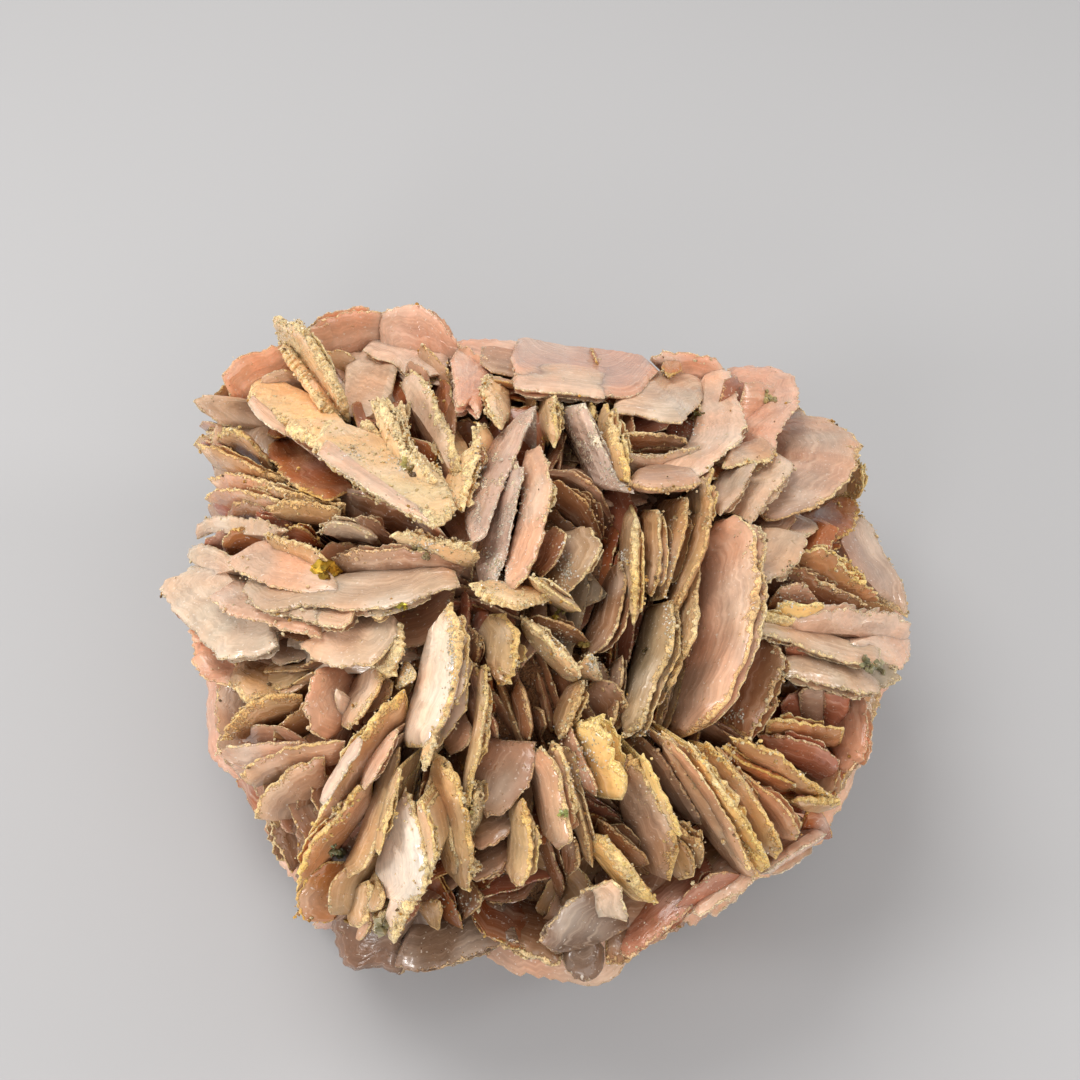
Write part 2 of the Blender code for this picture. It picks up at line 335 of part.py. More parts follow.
def far_side():
    """Fans of near-parallel plates, each plate a crest, a root, its normal and its thickness."""
    rng = random.Random(41)
    view = (EYE - MIDDLE) / np.linalg.norm(EYE - MIDDLE)
    spots, plates = 50, []
    for i in range(spots):
        z = 1.0 - 2.0 * (i + 0.5) / spots
        turn = 2.39996 * i
        s = math.sqrt(1.0 - z * z)
        at = np.array([s * math.cos(turn), s * math.sin(turn), z])
        out = at / DOME_R
        out /= np.linalg.norm(out)
        spot = DOME_C + DOME_R * at * 0.97
        heading = rng.uniform(0.0, math.pi)
        lean = rng.uniform(-0.35, 0.35)
        count = 3
        pitch = rng.uniform(*FAN_PITCH)
        half = rng.uniform(*FAN_HALF)
        if out @ view > -0.02 or spot[2] < 1.0:
            continue
        east = np.cross([0.0, 0.0, 1.0], out)
        east /= np.linalg.norm(east)
        north = np.cross(out, east)
        along = math.cos(heading) * east + math.sin(heading) * north
        n = np.cross(along, out) * math.cos(lean) + out * math.sin(lean)
        rise = np.cross(n, along)
        if rise @ out < 0:
            rise = -rise
        for k in range(count):
            off = (k - (count - 1) / 2.0) * pitch
            size = half * rng.uniform(0.72, 1.05) * (1.0 - 0.10 * abs(k - (count - 1) / 2.0))
            top = rng.uniform(0.8, 3.6)
            twist = rng.uniform(-0.10, 0.10)
            c = spot + n * off + along * rng.uniform(-2.5, 2.5)
            a = along + n * twist
            shape = [(-1.0, -2.6), (-0.55, top - 0.8), (0.35, top), (1.0, -2.2)]
            shape = [(x + rng.uniform(-0.12, 0.12), y + rng.uniform(-0.5, 0.5)) for x, y in shape]
            crest = []
            for x, y in shape:
                p = c + a * (x * size) + rise * y
                for _ in range(24):
                    if inside_outline(p):
                        break
                    p = p + (DOME_C - p) * 0.035
                crest.append(p)
            m = np.cross(a, rise)
            m /= np.linalg.norm(m)
            crest = np.array(crest)
            crest -= ((crest - c) @ m)[:, None] * m
            deep = np.array([crest[-1] - rise * 6.0 - a * size * 0.2, crest[0] - rise * 6.0 + a * size * 0.2])
            plates.append((crest, deep, m, rng.uniform(1.2, 1.8)))
    return plates


for k, (crest, deep, n, thick) in enumerate(far_side()):
    ob = slab("far%03d" % k, np.vstack([crest, deep]), n, 0.5, 0.5,
              [thick] * len(crest) + [thick * 1.4] * len(deep))
    blades.objects.link(ob)

# ---------------------------------------------------------------- massive root
bm = bmesh.new()
bmesh.ops.create_icosphere(bm, subdivisions=2, radius=1.0)
lump = random.Random(7)
for vert in bm.verts:
    p = np.array(vert.co) * DOME_R * lump.uniform(*ROOT) + DOME_C
    vert.co = Vector((p * 0.001).tolist())
mesh = bpy.data.meshes.new("root")
bm.to_mesh(mesh)
bm.free()
root = bpy.data.objects.new("root", mesh)
bpy.context.scene.collection.objects.link(root)

below = bpy.data.meshes.new("below")
bm = bmesh.new()
bmesh.ops.create_cube(bm, size=0.4)
bm.to_mesh(below)
bm.free()
ground = bpy.data.objects.new("ground", below)
ground.location = (0, 0, 0.2)
bpy.context.scene.collection.objects.link(ground)

grow = root.modifiers.new("blades", "BOOLEAN")
grow.operation = "UNION"
grow.operand_type = "COLLECTION"
grow.collection = blades
grow.solver = "EXACT"
cut = root.modifiers.new("rest face", "BOOLEAN")
cut.operation = "INTERSECT"
cut.object = ground
cut.solver = "EXACT"
bpy.context.view_layer.update()
grown = bpy.data.meshes.new_from_object(root.evaluated_get(bpy.context.evaluated_depsgraph_get()))


def bodies(bm):
    """The separate closed surfaces of a mesh."""
    left = set(bm.faces)
    while left:
        seed = left.pop()
        found, todo = [seed], [seed]
        while todo:
            for edge in todo.pop().edges:
                for face in edge.link_faces:
                    if face in left:
                        left.remove(face)
                        found.append(face)
                        todo.append(face)
        yield found


def volume(faces):
    total = 0.0
    for face in faces:
        a = face.verts[0].co
        for b, c in zip(face.verts[1:-1], face.verts[2:]):
            total += a.dot(b.co.cross(c.co)) / 6.0
    return total


# gaps closed on every side are filled, so the rose is one solid
bm = bmesh.new()
bm.from_mesh(grown)
parts = sorted(bodies(bm), key=volume)
for part in parts[:-1]:
    bmesh.ops.delete(bm, geom=part, context="FACES")
loose = [v for v in bm.verts if not v.link_faces]
bmesh.ops.delete(bm, geom=loose, context="VERTS")
bmesh.ops.dissolve_limit(bm, angle_limit=math.radians(0.5), verts=bm.verts, edges=bm.edges)
bmesh.ops.triangulate(bm, faces=bm.faces)
whole = bpy.data.meshes.new("sand_rose")
bm.to_mesh(whole)
bm.free()
for old in list(bpy.data.objects):
    bpy.data.objects.remove(old)
rose = bpy.data.objects.new("sand_rose", whole)
bpy.context.scene.collection.objects.link(rose)
gypsum = bpy.data.materials.new("gypsum")
gypsum.use_nodes = True
shader = gypsum.node_tree.nodes["Principled BSDF"]
shader.inputs["Base Color"].default_value = (0.72, 0.50, 0.36, 1.0)
shader.inputs["Roughness"].default_value = 0.55
shader.inputs["Metallic"].default_value = 0.0
gypsum.diffuse_color = (0.72, 0.50, 0.36, 1.0)
whole.materials.append(gypsum)
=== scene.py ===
"""Looks of the sand rose: every blade as a sheaf of thin rough-rimmed lamellae on a massive root.

The blades are laid out on the same 1080 x 1080 sheet as the solid: crest and foot of each plate as
sheet points, depth of the foot and height of the crest in mm, rim thickness in mm, and a tone.
"""

import math
import random

import bpy
import numpy as np
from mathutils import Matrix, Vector
from mathutils.bvhtree import BVHTree


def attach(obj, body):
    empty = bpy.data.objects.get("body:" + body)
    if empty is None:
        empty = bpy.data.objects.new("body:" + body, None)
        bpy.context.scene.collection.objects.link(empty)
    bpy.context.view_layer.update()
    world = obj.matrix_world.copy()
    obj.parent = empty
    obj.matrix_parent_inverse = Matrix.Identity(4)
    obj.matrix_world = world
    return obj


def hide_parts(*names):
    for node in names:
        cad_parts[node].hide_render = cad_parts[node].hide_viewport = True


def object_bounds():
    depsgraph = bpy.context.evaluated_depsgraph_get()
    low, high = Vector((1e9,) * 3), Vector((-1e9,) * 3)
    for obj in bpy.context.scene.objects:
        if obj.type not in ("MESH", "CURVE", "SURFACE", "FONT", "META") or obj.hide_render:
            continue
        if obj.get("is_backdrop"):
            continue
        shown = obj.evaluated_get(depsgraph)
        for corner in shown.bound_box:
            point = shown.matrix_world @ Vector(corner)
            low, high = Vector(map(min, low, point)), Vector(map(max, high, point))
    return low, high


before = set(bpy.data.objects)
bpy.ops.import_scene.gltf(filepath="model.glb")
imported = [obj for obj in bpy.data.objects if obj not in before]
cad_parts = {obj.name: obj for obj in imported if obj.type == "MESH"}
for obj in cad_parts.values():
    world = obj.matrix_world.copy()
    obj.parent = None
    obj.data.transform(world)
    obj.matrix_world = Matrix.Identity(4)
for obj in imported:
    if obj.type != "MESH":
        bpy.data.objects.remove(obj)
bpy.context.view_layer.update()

# ---------------------------------------------------------------- dimensions shared with the solid, in mm
DOME_C = np.array([0.0, -3.2, 20.0])
DOME_R = np.array([47.0, 46.0, 28.0])
DEEP = 7.0
FAN_PITCH = (3.6, 4.8)
FAN_HALF = (12.0, 16.0)
TILT = math.radians(54.0)
TAN = 0.4
REACH = 172.0
MIDDLE = np.array([0.0, -3.2, 22.0])

# ---------------------------------------------------------------- blades of the upper side

# (name, crest, foot, D, h, t, tone)
# crest and foot are sheet points; foot may be a (du, dv) pair
P = [
 # --- upper left
 ("tl1", [(277,316),(298,321),(313,337),(330,365),(345,395),(353,420)], [(343,424),(322,401),(300,373),(282,346)], 3, 2, 1.6, "crust"),
 ("tl2", [(279,349),(294,373),(318,405),(340,430)], [(352,420),(330,385),(305,350),(290,338)], 4, 0.5, 2.0, "crust"),
 ("tl3", [(248,397),(256,409),(272,421),(295,436),(318,452)], [(352,436),(330,414),(300,396),(268,382),(252,385)], 4, 3, 2.2, "crust"),
 ("tl4", [(314,450),(332,468),(365,488),(400,509),(437,527),(449,523),(457,513)], [(446,484),(420,458),(392,446),(352,431),(325,424)], 4, 4, 2.4, "crust"),
 # tl3r and tl4r: pale bands along the lower rims of tl3 and tl4, their paleness partly a painted highlight of the
 # glossy faces
 ("tl3r", [(249,401),(256,412),(273,425),(296,439),(319,455)], [(322,448),(299,432),(276,417),(259,404),(252,396)], 2, 5.0, 0.9, "pinkwhite"),
 ("tl4r", [(317,454),(334,471),(366,491),(400,512),(428,525)], [(432,519),(404,503),(372,481),(345,460),(326,441)], 2, 6.4, 1.0, "pinkwhite"),
 ("tlx", [(455,424),(468,418),(483,426)], [(484,446),(468,450),(455,444)], 4, -4, 1.4, "brown"),
 ("tl5", [(267,445),(270,456),(284,475),(306,490),(330,500)], [(352,490),(330,462),(300,444),(278,440)], 7, 0, 1.4, "amber"),
 ("tl6", [(236,396),(205,393),(194,398),(204,410),(224,425)], [(262,430),(264,404)], 4, 0, 1.5, "cream"),
 ("tl7", [(229,399),(225,378),(234,362),(252,352),(284,345)], [(302,372),(282,402),(250,404)], 5, -1, 1.4, "peach"),
 ("tl8", [(256,384),(266,374),(284,369),(303,378)], [(318,398),(292,398)], 5, 0, 1.2, "milky"),
 ("tl9", [(306,332),(328,320),(355,313),(381,311)], [(386,345),(345,353),(320,348)], 5, -2, 1.6, "peach"),
 ("tl10", [(381,344),(377,312),(392,306),(419,303),(437,317),(457,339)], [(462,362),(430,372),(395,366)], 7, -1, 1.5, "pink"),
 ("tl11", [(362,350),(380,357),(396,361),(404,370),(412,365),(428,374),(446,372)], [(450,350),(400,342),(370,343)], 5, 0.5, 1.2, "pinkwhite"),
 ("tl12", [(372,398),(384,378),(396,362)], (24,20), 7, -3, 1.2, "amber"),
 ("tl13", [(402,386),(416,371),(428,381),(440,402),(450,425),(462,455),(463,472)], [(455,475),(443,447),(425,420),(408,400)], 4, 1.5, 1.5, "pinkcrust"),
 ("tl14", [(413,418),(432,436),(446,456),(455,478)], (18,-14), 5, 0.5, 1.4, "crust"),
 ("tl15", [(372,399),(388,403),(400,420),(410,445),(425,460),(440,478)], [(430,490),(405,465),(392,440),(380,418)], 4, 4.0, 1.6, "crust"),
 ("tl16", [(418,428),(436,446),(452,470)], (-24,8), 7, -3, 1.2, "amber"),
 ("tl17", [(352,425),(368,417),(386,432)], (6,20), 4, 0, 1.4, "crust"),
 ("tl18", [(477,440),(474,462),(468,485),(461,512)], [(446,500),(447,486),(460,462)], 4, 1.5, 1.6, "crust"),
 ("tl19", [(466,441),(474,430),(482,419)], (9,15), 3, 0, 1.2, "crust"),
 ("tl20", [(446,368),(451,390),(452,415),(453,437)], (-17,-4), 8, -2, 1.2, "amber"),
 ("tl21", [(449,365),(452,385),(455,412),(463,411),(467,408),(478,423)], [(486,400),(492,370),(500,347),(460,345)], 6, 1, 1.3, "pink"),
 ("tl22", [(484,378),(479,395),(486,415),(499,433)], [(507,420),(503,395),(497,377)], 5, 1, 1.2, "crust"),
 ("tl24", [(345,352),(365,350),(388,356),(398,362)], [(392,395),(372,420),(352,420),(346,390)], 5, -1.5, 1.3, "milky"),
 ("tl23", [(479,438),(487,456),(483,475)], (-8,6), 4, 0, 1.0, "brown"),
 # --- top
 ("tc1", [(510,360),(517,372),(545,380),(580,386),(605,391),(628,393),(643,388),(650,378),(660,373)], [(645,359),(620,352),(585,347),(545,343),(518,340)], 6, 2, 1.4, "pink"),
 ("tc2", [(512,378),(513,390),(530,395),(560,396),(600,400),(612,393)], [(610,380),(560,372),(525,372)], 5, 0.5, 1.3, "pinkwhite"),
 ("tc3", [(456,340),(480,339),(518,341)], [(515,365),(490,372),(462,370)], 6, -1, 1.4, "pink"),
 ("tc4", [(612,412),(640,417),(665,426),(682,427),(693,414),(704,398)], [(702,382),(665,377),(640,386),(618,398)], 6, 1, 1.3, "milky"),
 ("tc5", [(650,360),(662,353),(690,353),(713,356),(725,369)], [(728,392),(700,384),(668,378)], 6, 0, 1.5, "peach"),
 ("tc6", [(722,366),(737,382),(740,408),(746,428),(742,442),(725,456),(704,474),(690,481)], [(660,472),(690,446),(697,425),(706,395),(705,375)], 6, 2, 1.4, "pinkwhite"),
 ("tc7", [(618,433),(640,433),(665,434),(686,438)], [(690,452),(650,452),(618,450)], 7, 0, 1.4, "brown"),
 ("tc8", [(625,455),(660,455),(700,446)], [(702,464),(660,472),(632,472)], 6, 0, 1.2, "milky"),
 ("tc9", [(628,489),(650,497),(685,496),(701,486)], [(698,477),(660,475),(632,477)], 4, 3, 1.8, "pinkface"),
 ("tc10", [(583,403),(592,432),(603,460),(612,480),(634,494)], [(603,489),(586,460),(572,432),(562,408)], 6, 2, 1.4, "dusty"),
 ("tc11", [(604,402),(611,407),(616,430),(621,455),(627,482)], [(612,482),(606,455),(601,420)], 6, 2, 1.6, "ochre"),
 ("tc12", [(558,396),(561,420),(560,440),(556,448)], [(549,438),(545,415),(543,397)], 5, 1, 1.4, "ochre"),
 ("tc13", [(596,402),(594,415),(590,428)], (-8,-3), 5, 0, 1.2, "ochre"),
 ("tc14", [(548,458),(575,470),(600,487),(628,516)], (-14,16), 7, -2, 1.2, "mauve"),
 ("tc15", [(546,470),(575,490),(612,521)], (-12,20), 6, -0.5, 1.2, "brown"),
 # --- centre
 ("c1", [(530,425),(512,460),(497,495),(488,522),(480,543),(473,547)], [(467,530),(471,505),(483,472),(496,445),(520,420),(536,406)], 4, 2, 1.4, "dusty"),
 ("c2", [(522,445),(524,480),(519,515),(513,545),(500,590)], [(484,590),(481,560),(488,525),(500,480)], 5, 1, 1.3, "dusty"),
 ("c3", [(527,450),(541,447),(549,462),(553,480),(551,505),(546,530),(538,555),(527,578),(516,590),(506,589)], [(508,568),(519,535),(526,500),(524,470)], 5, 3, 1.5, "creampink"),
 ("c3b", [(552,478),(559,490),(556,505),(550,516)], (-9,0), 2, 1, 1.3, "crust"),
 ("m2", [(462,588),(478,598),(498,609),(515,612),(535,607),(558,605)], [(545,596),(515,590),(485,582)], 3, 2.5, 1.5, "crust"),
 ("m3", [(528,571),(546,581),(566,595),(585,610)], [(576,610),(552,595),(530,582)], 4, 4, 1.3, "ochre"),
 ("m4a", [(549,524),(569,534),(560,560),(548,582)], [(532,570),(540,545)], 4, 1, 1.2, "brown"),
 ("m4b", [(585,526),(607,549),(599,563),(588,580),(577,600)], [(552,585),(562,555),(573,531)], 4, 1.5, 1.4, "olive"),
 ("m6", [(627,560),(628,590),(620,625),(610,648),(598,656)], [(583,655),(592,625),(606,590),(616,565)], 5, 0, 1.4, "brown"),
 ("m7", [(607,575),(600,600),(590,616)], (-24,-8), 4, -2, 1.2, "grey"),
 ("m8", [(522,613),(540,627),(560,645),(578,662),(586,672)], [(575,682),(556,664),(536,640),(522,622)], 5, 2, 1.4, "crust"),
 ("m9", [(527,610),(560,620),(592,634)], (-3,12), 4, 0, 1.2, "brown"),
 ("m10", [(578,655),(592,656),(601,665)], (0,16), 3, 1, 1.2, "crust"),
 ("m1", [(512,612),(515,640),(513,665),(508,684),(502,691)], [(498,680),(490,655),(484,635),(492,615)], 5, 2, 1.6, "ochre"),
 ("m11", [(588,678),(578,705),(568,728),(560,741)], [(556,732),(566,705),(576,682)], 5, 1, 1.3, "tan"),
 ("m12", [(602,672),(622,690),(634,715)], [(612,735),(590,712),(585,690)], 5, -1, 1.3, "brown"),
 ("m13", [(523,676),(530,697),(535,720),(538,741)], [(520,740),(512,715),(514,690)], 6, 0, 1.2, "brown"),
 ("m14", [(540,702),(546,718),(549,735)], (-10,4), 6, -2, 1.1, "brown"),
 ("m15", [(538,742),(537,765),(533,785),(522,798),(505,812),(487,820)], [(478,800),(484,765),(500,740)], 3, -0.5, 1.3, "mauve"),
 ("m16a", [(470,852),(492,845),(516,832)], [(515,810),(495,816),(474,826)], 3, -1, 1.2, "mauve"),
 ("m16b", [(468,885),(490,880),(513,862)], [(512,845),(490,850),(470,860)], 3, -2, 1.2, "mauve"),
 ("m17", [(524,797),(526,820),(526,850),(524,875),(518,890)], [(513,880),(512,850),(514,820),(516,800)], 5, 2, 1.6, "ochre"),
 ("m17b", [(528,802),(532,840),(531,878)], (-8,0), 4, 1, 1.2, "crust"),
 ("m18", [(543,741),(552,765),(558,790),(563,815),(568,840),(562,854)], [(552,842),(542,815),(536,785),(536,755)], 5, 3, 1.6, "tanpink"),
 ("m19", [(552,736),(562,755),(568,780),(575,805),(577,820)], [(566,818),(558,785),(549,752)], 5, 2, 1.4, "ochre"),
 ("m20", [(568,778),(580,800),(588,830),(594,855),(597,868)], [(588,862),(578,830),(570,800),(563,785)], 5, 1, 1.4, "olive"),
 ("m21", [(570,825),(578,850),(580,878)], (-16,0), 5, -2, 1.2, "brown"),
 # --- left stack of pale plates
 ("w0", [(225,560),(238,575),(260,585),(300,594),(345,594)], [(330,572),(300,552),(270,545),(245,552)], 5, 1, 1.3, "creampink"),
 ("w1", [(241,590),(255,602),(270,607),(300,602),(340,604),(385,603),(410,598),(435,589),(460,584)], [(455,572),(400,570),(350,575),(320,582),(280,570),(250,578)], 6, 3, 1.4, "cream"),
 ("w2", [(205,600),(220,612),(240,624),(262,628),(280,634),(300,636),(322,640)], [(320,610),(270,598),(230,585)], 5, 1.5, 1.3, "creampink"),
 ("w2b", [(245,600),(262,608),(280,617),(310,622),(330,628)], [(340,605),(300,598),(262,594)], 4, 2, 1.2, "cream"),
 ("w3", [(195,568),(180,578),(166,583),(162,591),(172,607),(184,622),(198,638),(212,650),(225,661),(245,660),(268,657),(281,650)], [(275,632),(250,600),(225,570)], 4, 0, 1.5, "white"),
 ("w4", [(298,620),(305,616),(318,620),(320,627),(340,629),(350,625),(357,612)], [(360,600),(330,603),(305,610)], 3, 2.5, 1.2, "cream"),
 ("w5", [(297,643),(303,652),(315,660),(335,663),(352,661),(372,660),(384,650),(397,636),(399,622)], [(390,612),(360,618),(330,632)], 4, 2, 1.4, "cream"),
 ("w6", [(352,620),(365,615),(380,617),(392,610),(385,602)], (-10,-14), 3, 2.2, 1.2, "tan"),
 ("w7", [(399,622),(400,640),(396,655),(388,668),(380,675)], [(372,665),(378,650),(388,630)], 4, 1, 1.6, "crust"),
 # --- left fan
 ("l1", [(212,437),(232,429),(248,440),(266,458),(280,474)], [(262,470),(240,452),(222,443)], 4, 0, 1.5, "ochre"),
 ("l2", [(197,446),(216,447),(240,458),(262,470),(290,484)], [(285,492),(250,478),(214,463)], 5, -1, 1.4, "tan"),
 ("l4", [(210,479),(224,472),(250,476),(285,486)], [(285,500),(250,494),(218,486)], 5, -1, 1.4, "tanpink"),
 ("l5", [(257,487),(278,484),(305,492),(345,504)], [(345,515),(300,503),(268,492)], 5, 0, 1.2, "tan"),
 ("l6", [(203,497),(216,489),(245,490),(280,499)], [(285,512),(250,508),(215,504)], 5, -1, 1.4, "tanpink"),
 ("l7", [(263,509),(280,503),(305,503),(340,512)], [(340,520),(300,517),(275,514)], 4, 0, 1.2, "tan"),
 ("l8", [(217,512),(240,502),(270,505)], (8,14), 5, -2, 1.3, "brown"),
 ("l9", [(196,540),(198,525),(208,517),(230,514),(262,520),(290,530)], [(280,536),(240,533),(215,532)], 4, 0, 1.5, "cream"),
 ("l10", [(200,568),(188,556),(190,548),(202,543),(215,548),(235,556)], [(240,570),(215,576)], 4, -1, 1.4, "cream"),
 ("l11", [(213,547),(235,533),(264,532)], (12,14), 6, -3, 1.2, "amber"),
 ("l12", [(262,531),(285,540),(308,546),(328,560)], [(318,566),(290,556),(272,545)], 4, 1, 1.2, "tan"),
 ("l13", [(280,524),(300,522),(318,530)], (5,16), 6, -2, 1.2, "amber"),
 ("l14", [(314,530),(330,522),(350,523),(378,534)], [(378,541),(350,536),(330,533)], 4, 1, 1.3, "cream"),
 ("l15", [(392,537),(410,531),(440,541),(470,546),(480,557)], [(474,563),(450,556),(425,549),(400,542)], 3, 1.5, 1.3, "crust"),
 ("l16", [(330,560),(360,548),(400,546),(440,552),(470,563)], [(460,575),(410,572),(350,575)], 5, -1, 1.3, "mauve"),
 ("l17", [(352,490),(380,505),(415,520),(445,532)], [(430,541),(390,533),(350,515)], 5, -2, 1.2, "brown"),
 ("l18", [(340,478),(365,492),(390,508)], (-25,18), 6, -2, 1.2, "mauve"),
 ("l19", [(345,512),(375,517),(400,528)], (-6,14), 4, -1, 1.2, "mauve"),
 # --- lower left fan
 ("f1", [(453,598),(457,618),(458,645),(455,675),(452,700),(443,722),(438,748)], [(408,747),(413,715),(420,688),(428,655),(438,622)], 6, 4, 2.0, "glossy"),
 ("f2", [(384,664),(376,686),(364,708),(350,731)], [(340,724),(352,694),(368,668)], 5, 1, 1.5, "tanpink"),
 ("f3", [(399,640),(401,655),(396,672),(385,682)], [(372,672),(380,655),(390,642)], 3, 0.5, 1.6, "crust"),
 ("f4", [(421,664),(420,680),(411,690)], (-14,-2), 2, 1, 1.4, "crust"),
 ("f5", [(335,663),(316,669),(303,688),(299,712),(307,735),(325,744),(340,738)], [(346,715),(338,690),(350,668)], 5, 0, 1.5, "wax"),
 ("f6", [(333,702),(336,690),(346,687)], (8,16), 3, 0, 1.1, "pinkwhite"),
 ("f7", [(404,680),(384,702),(362,727),(343,757),(328,785),(318,810),(303,838)], [(318,832),(345,800),(368,770),(392,742),(408,712)], 6, 2, 1.8, "amberochre"),
 ("f8", [(372,770),(352,790),(335,818),(312,843),(301,862),(292,893)], [(300,890),(320,862),(333,848),(352,822),(372,795)], 5, 2, 1.6, "amberochre"),
 ("f9", [(318,862),(306,882),(299,902),(303,922),(318,926)], [(338,918),(345,880),(350,862)], 5, 0, 1.5, "orange"),
 ("f10", [(404,745),(396,775),(390,800),(383,822),(374,845),(366,865),(352,880)], [(344,875),(358,845),(370,810),(380,780),(392,752)], 5, 2, 1.6, "tan"),
 ("f11", [(409,780),(418,802),(424,828),(431,852),(433,873),(428,892),(415,910),(403,932),(396,945)], [(390,938),(393,915),(400,897),(388,893),(386,868),(393,832),(402,800)], 5, 3, 1.8, "glossy"),
 ("f12", [(372,878),(366,900),(362,930)], [(350,925),(350,905),(358,885)], 4, 0, 1.3, "tan"),
 ("f13", [(388,878),(384,900),(378,918)], (-14,-6), 4, 1, 1.3, "tan"),
 ("f14", [(376,922),(382,935),(390,925)], (-2,-14), 2, 0, 1.3, "crust"),
 ("f15", [(470,715),(471,738),(462,750),(454,762)], [(440,740),(444,715),(452,706)], 5, 0, 1.2, "mauve"),
 ("f16", [(477,660),(484,690),(487,715),(486,742),(482,768)], [(462,770),(458,740),(466,700),(470,668)], 6, 1, 1.4, "mauverim"),
 ("f17", [(437,742),(449,760),(458,785),(464,812),(469,840),(473,868),(472,892)], [(462,888),(452,862),(443,835),(436,800),(433,765)], 5, 2, 1.6, "ochre"),
 ("f18", [(446,800),(456,830),(462,858),(466,884)], [(456,880),(446,855),(440,825)], 4, 0, 1.3, "tan"),
 ("f18b", [(468,848),(476,860),(477,878)], (-8,4), 3, 0.5, 1.3, "crust"),
 ("f19", [(481,770),(472,790),(466,815),(464,832)], (9,5), 4, 0.5, 1.3, "crust"),
 ("f19b", [(479,775),(483,795),(478,812)], (-8,6), 4, 0, 1.1, "tan"),
 ("f20", [(434,765),(426,790),(421,815)], [(430,850),(438,820),(440,790)], 6, -1, 1.2, "brown"),
 ("f22", [(426,895),(436,905),(446,920)], (-8,10), 4, -2, 1.2, "tan"),
 ("f23", [(486,880),(482,900),(480,925)], (-22,-4), 5, -3, 1.2, "brown"),
 ("f25", [(464,660),(468,680),(471,694)], (-6,3), 4, 1, 1.1, "rose"),
 ("f26", [(478,622),(482,648),(480,675)], (-13,5), 5, -1, 1.2, "brown"),
 ("f27", [(487,705),(496,718),(502,732)], (-4,12), 4, -1, 1.0, "mauve"),
 # --- far left low
 ("ll1", [(217,740),(232,722),(250,703),(275,695),(302,694)], [(303,708),(280,718),(255,730),(235,738)], 5, -2, 1.4, "tan"),
 ("ll2", [(212,752),(226,742),(260,737),(300,738),(340,745)], [(325,757),(290,761),(255,762),(228,757)], 4, -1, 1.5, "creampink"),
 ("ll3", [(240,778),(258,765),(285,755),(315,750),(345,745)], [(340,760),(310,766),(275,778),(250,784)], 4, 0, 1.5, "tanpink"),
 ("ll4", [(254,820),(262,800),(280,782),(300,767),(325,760)], [(325,775),(312,790),(300,805),(290,815),(270,819)], 4, 0, 1.5, "tanpink"),
 ("ll5", [(272,820),(272,840),(280,860),(292,875)], [(310,850),(318,820),(320,795)], 6, -4, 1.4, "brown"),
 ("z7", [(192,640),(193,660),(203,676),(222,684),(240,692)], [(260,670),(230,650)], 5, -6, 1.6, "peach"),
 ("z8", [(228,684),(246,702),(275,706),(300,700)], [(300,672),(262,662),(235,668)], 6, -4, 1.5, "tan"),
 # --- lower right
 ("n1", [(584,718),(600,717),(612,735),(618,760),(625,780),(628,801)], [(612,799),(600,775),(590,745),(578,722)], 3, 3, 1.4, "ochreface"),
 ("n1b", [(575,722),(590,760),(606,798)], [(580,790),(566,760),(566,730)], 5, 2, 1.3, "mauve"),
 ("n2", [(618,746),(636,762),(652,787),(668,812),(681,838)], [(670,880),(648,860),(632,820),(622,780)], 6, 2.5, 1.7, "mauverim"),
 ("n2b", [(676,818),(690,835),(700,838),(706,853)], [(700,868),(685,850),(676,835)], 4, 1, 1.3, "tan"),
 ("n2c", [(680,838),(690,858),(698,876)], [(680,880),(668,858),(670,840)], 4, 1, 1.3, "tan"),
 ("n3", [(596,830),(618,842),(636,864),(652,888),(664,902)], [(645,900),(622,874),(602,850),(588,838)], 5, 1.5, 1.6, "ochreface"),
 ("n4", [(600,813),(625,833),(655,860)], [(640,868),(615,850),(595,828)], 4, -1, 1.2, "brown"),
 ("n4b", [(640,728),(660,752),(682,785),(705,825)], [(690,822),(655,770),(628,742)], 6, 0, 1.3, "mauve"),
 ("n5", [(660,724),(682,752),(703,785),(722,812),(742,843),(764,876)], [(748,878),(722,840),(698,808),(680,780),(665,748)], 6, 3, 1.8, "tanpink"),
 ("n5b", [(698,748),(716,770),(738,802),(758,835),(776,862)], [(762,872),(742,842),(716,800),(692,765),(680,748)], 3, 3.5, 1.5, "ochreface"),
 ("n6", [(708,738),(722,752),(742,778),(760,800),(775,825),(786,845)], [(776,858),(752,825),(730,795),(712,768),(704,745)], 4, 3, 1.5, "ochre"),
 ("n7", [(716,738),(740,765),(758,790),(771,812)], [(762,815),(740,790),(722,765)], 4, 2, 1.3, "tan"),
 ("n8", [(741,762),(762,780),(780,792),(795,810),(803,830),(800,838)], [(790,840),(772,815),(752,790)], 4, 2, 1.4, "tanpink"),
 ("n9", [(726,729),(750,737),(782,749),(800,764),(818,781),(843,798)], [(820,796),(795,783),(765,765),(738,748)], 4, 2, 1.5, "ochre"),
 ("n9b", [(720,740),(745,757),(775,770),(800,780)], [(790,790),(760,775),(730,755)], 4, 1, 1.3, "amberochre"),
 ("n10", [(787,797),(810,795),(840,798),(842,803)], [(820,810),(800,806)], 3, 1.5, 1.5, "ochre"),
 ("n11", [(800,812),(820,812),(832,815)], (0,22), 5, -1, 1.4, "amber"),
 ("n12", [(830,838),(815,848),(795,860),(775,873),(763,880)], [(760,868),(790,848),(810,832),(822,832)], 4, 0, 1.8, "pinkwhite"),
 ("n13a", [(765,878),(742,890),(722,903),(700,920),(691,918)], [(700,895),(725,878),(745,862)], 4, 0, 1.8, "pinkwhite"),
 ("n13b", [(700,896),(685,912),(668,930),(650,946),(630,960),(612,965)], [(630,925),(650,905),(680,888),(712,872)], 5, -1, 1.8, "rose"),
 ("n13c", [(668,893),(700,882),(722,868),(740,862)], (10,16), 3, 0, 1.3, "rose"),
 # --- right
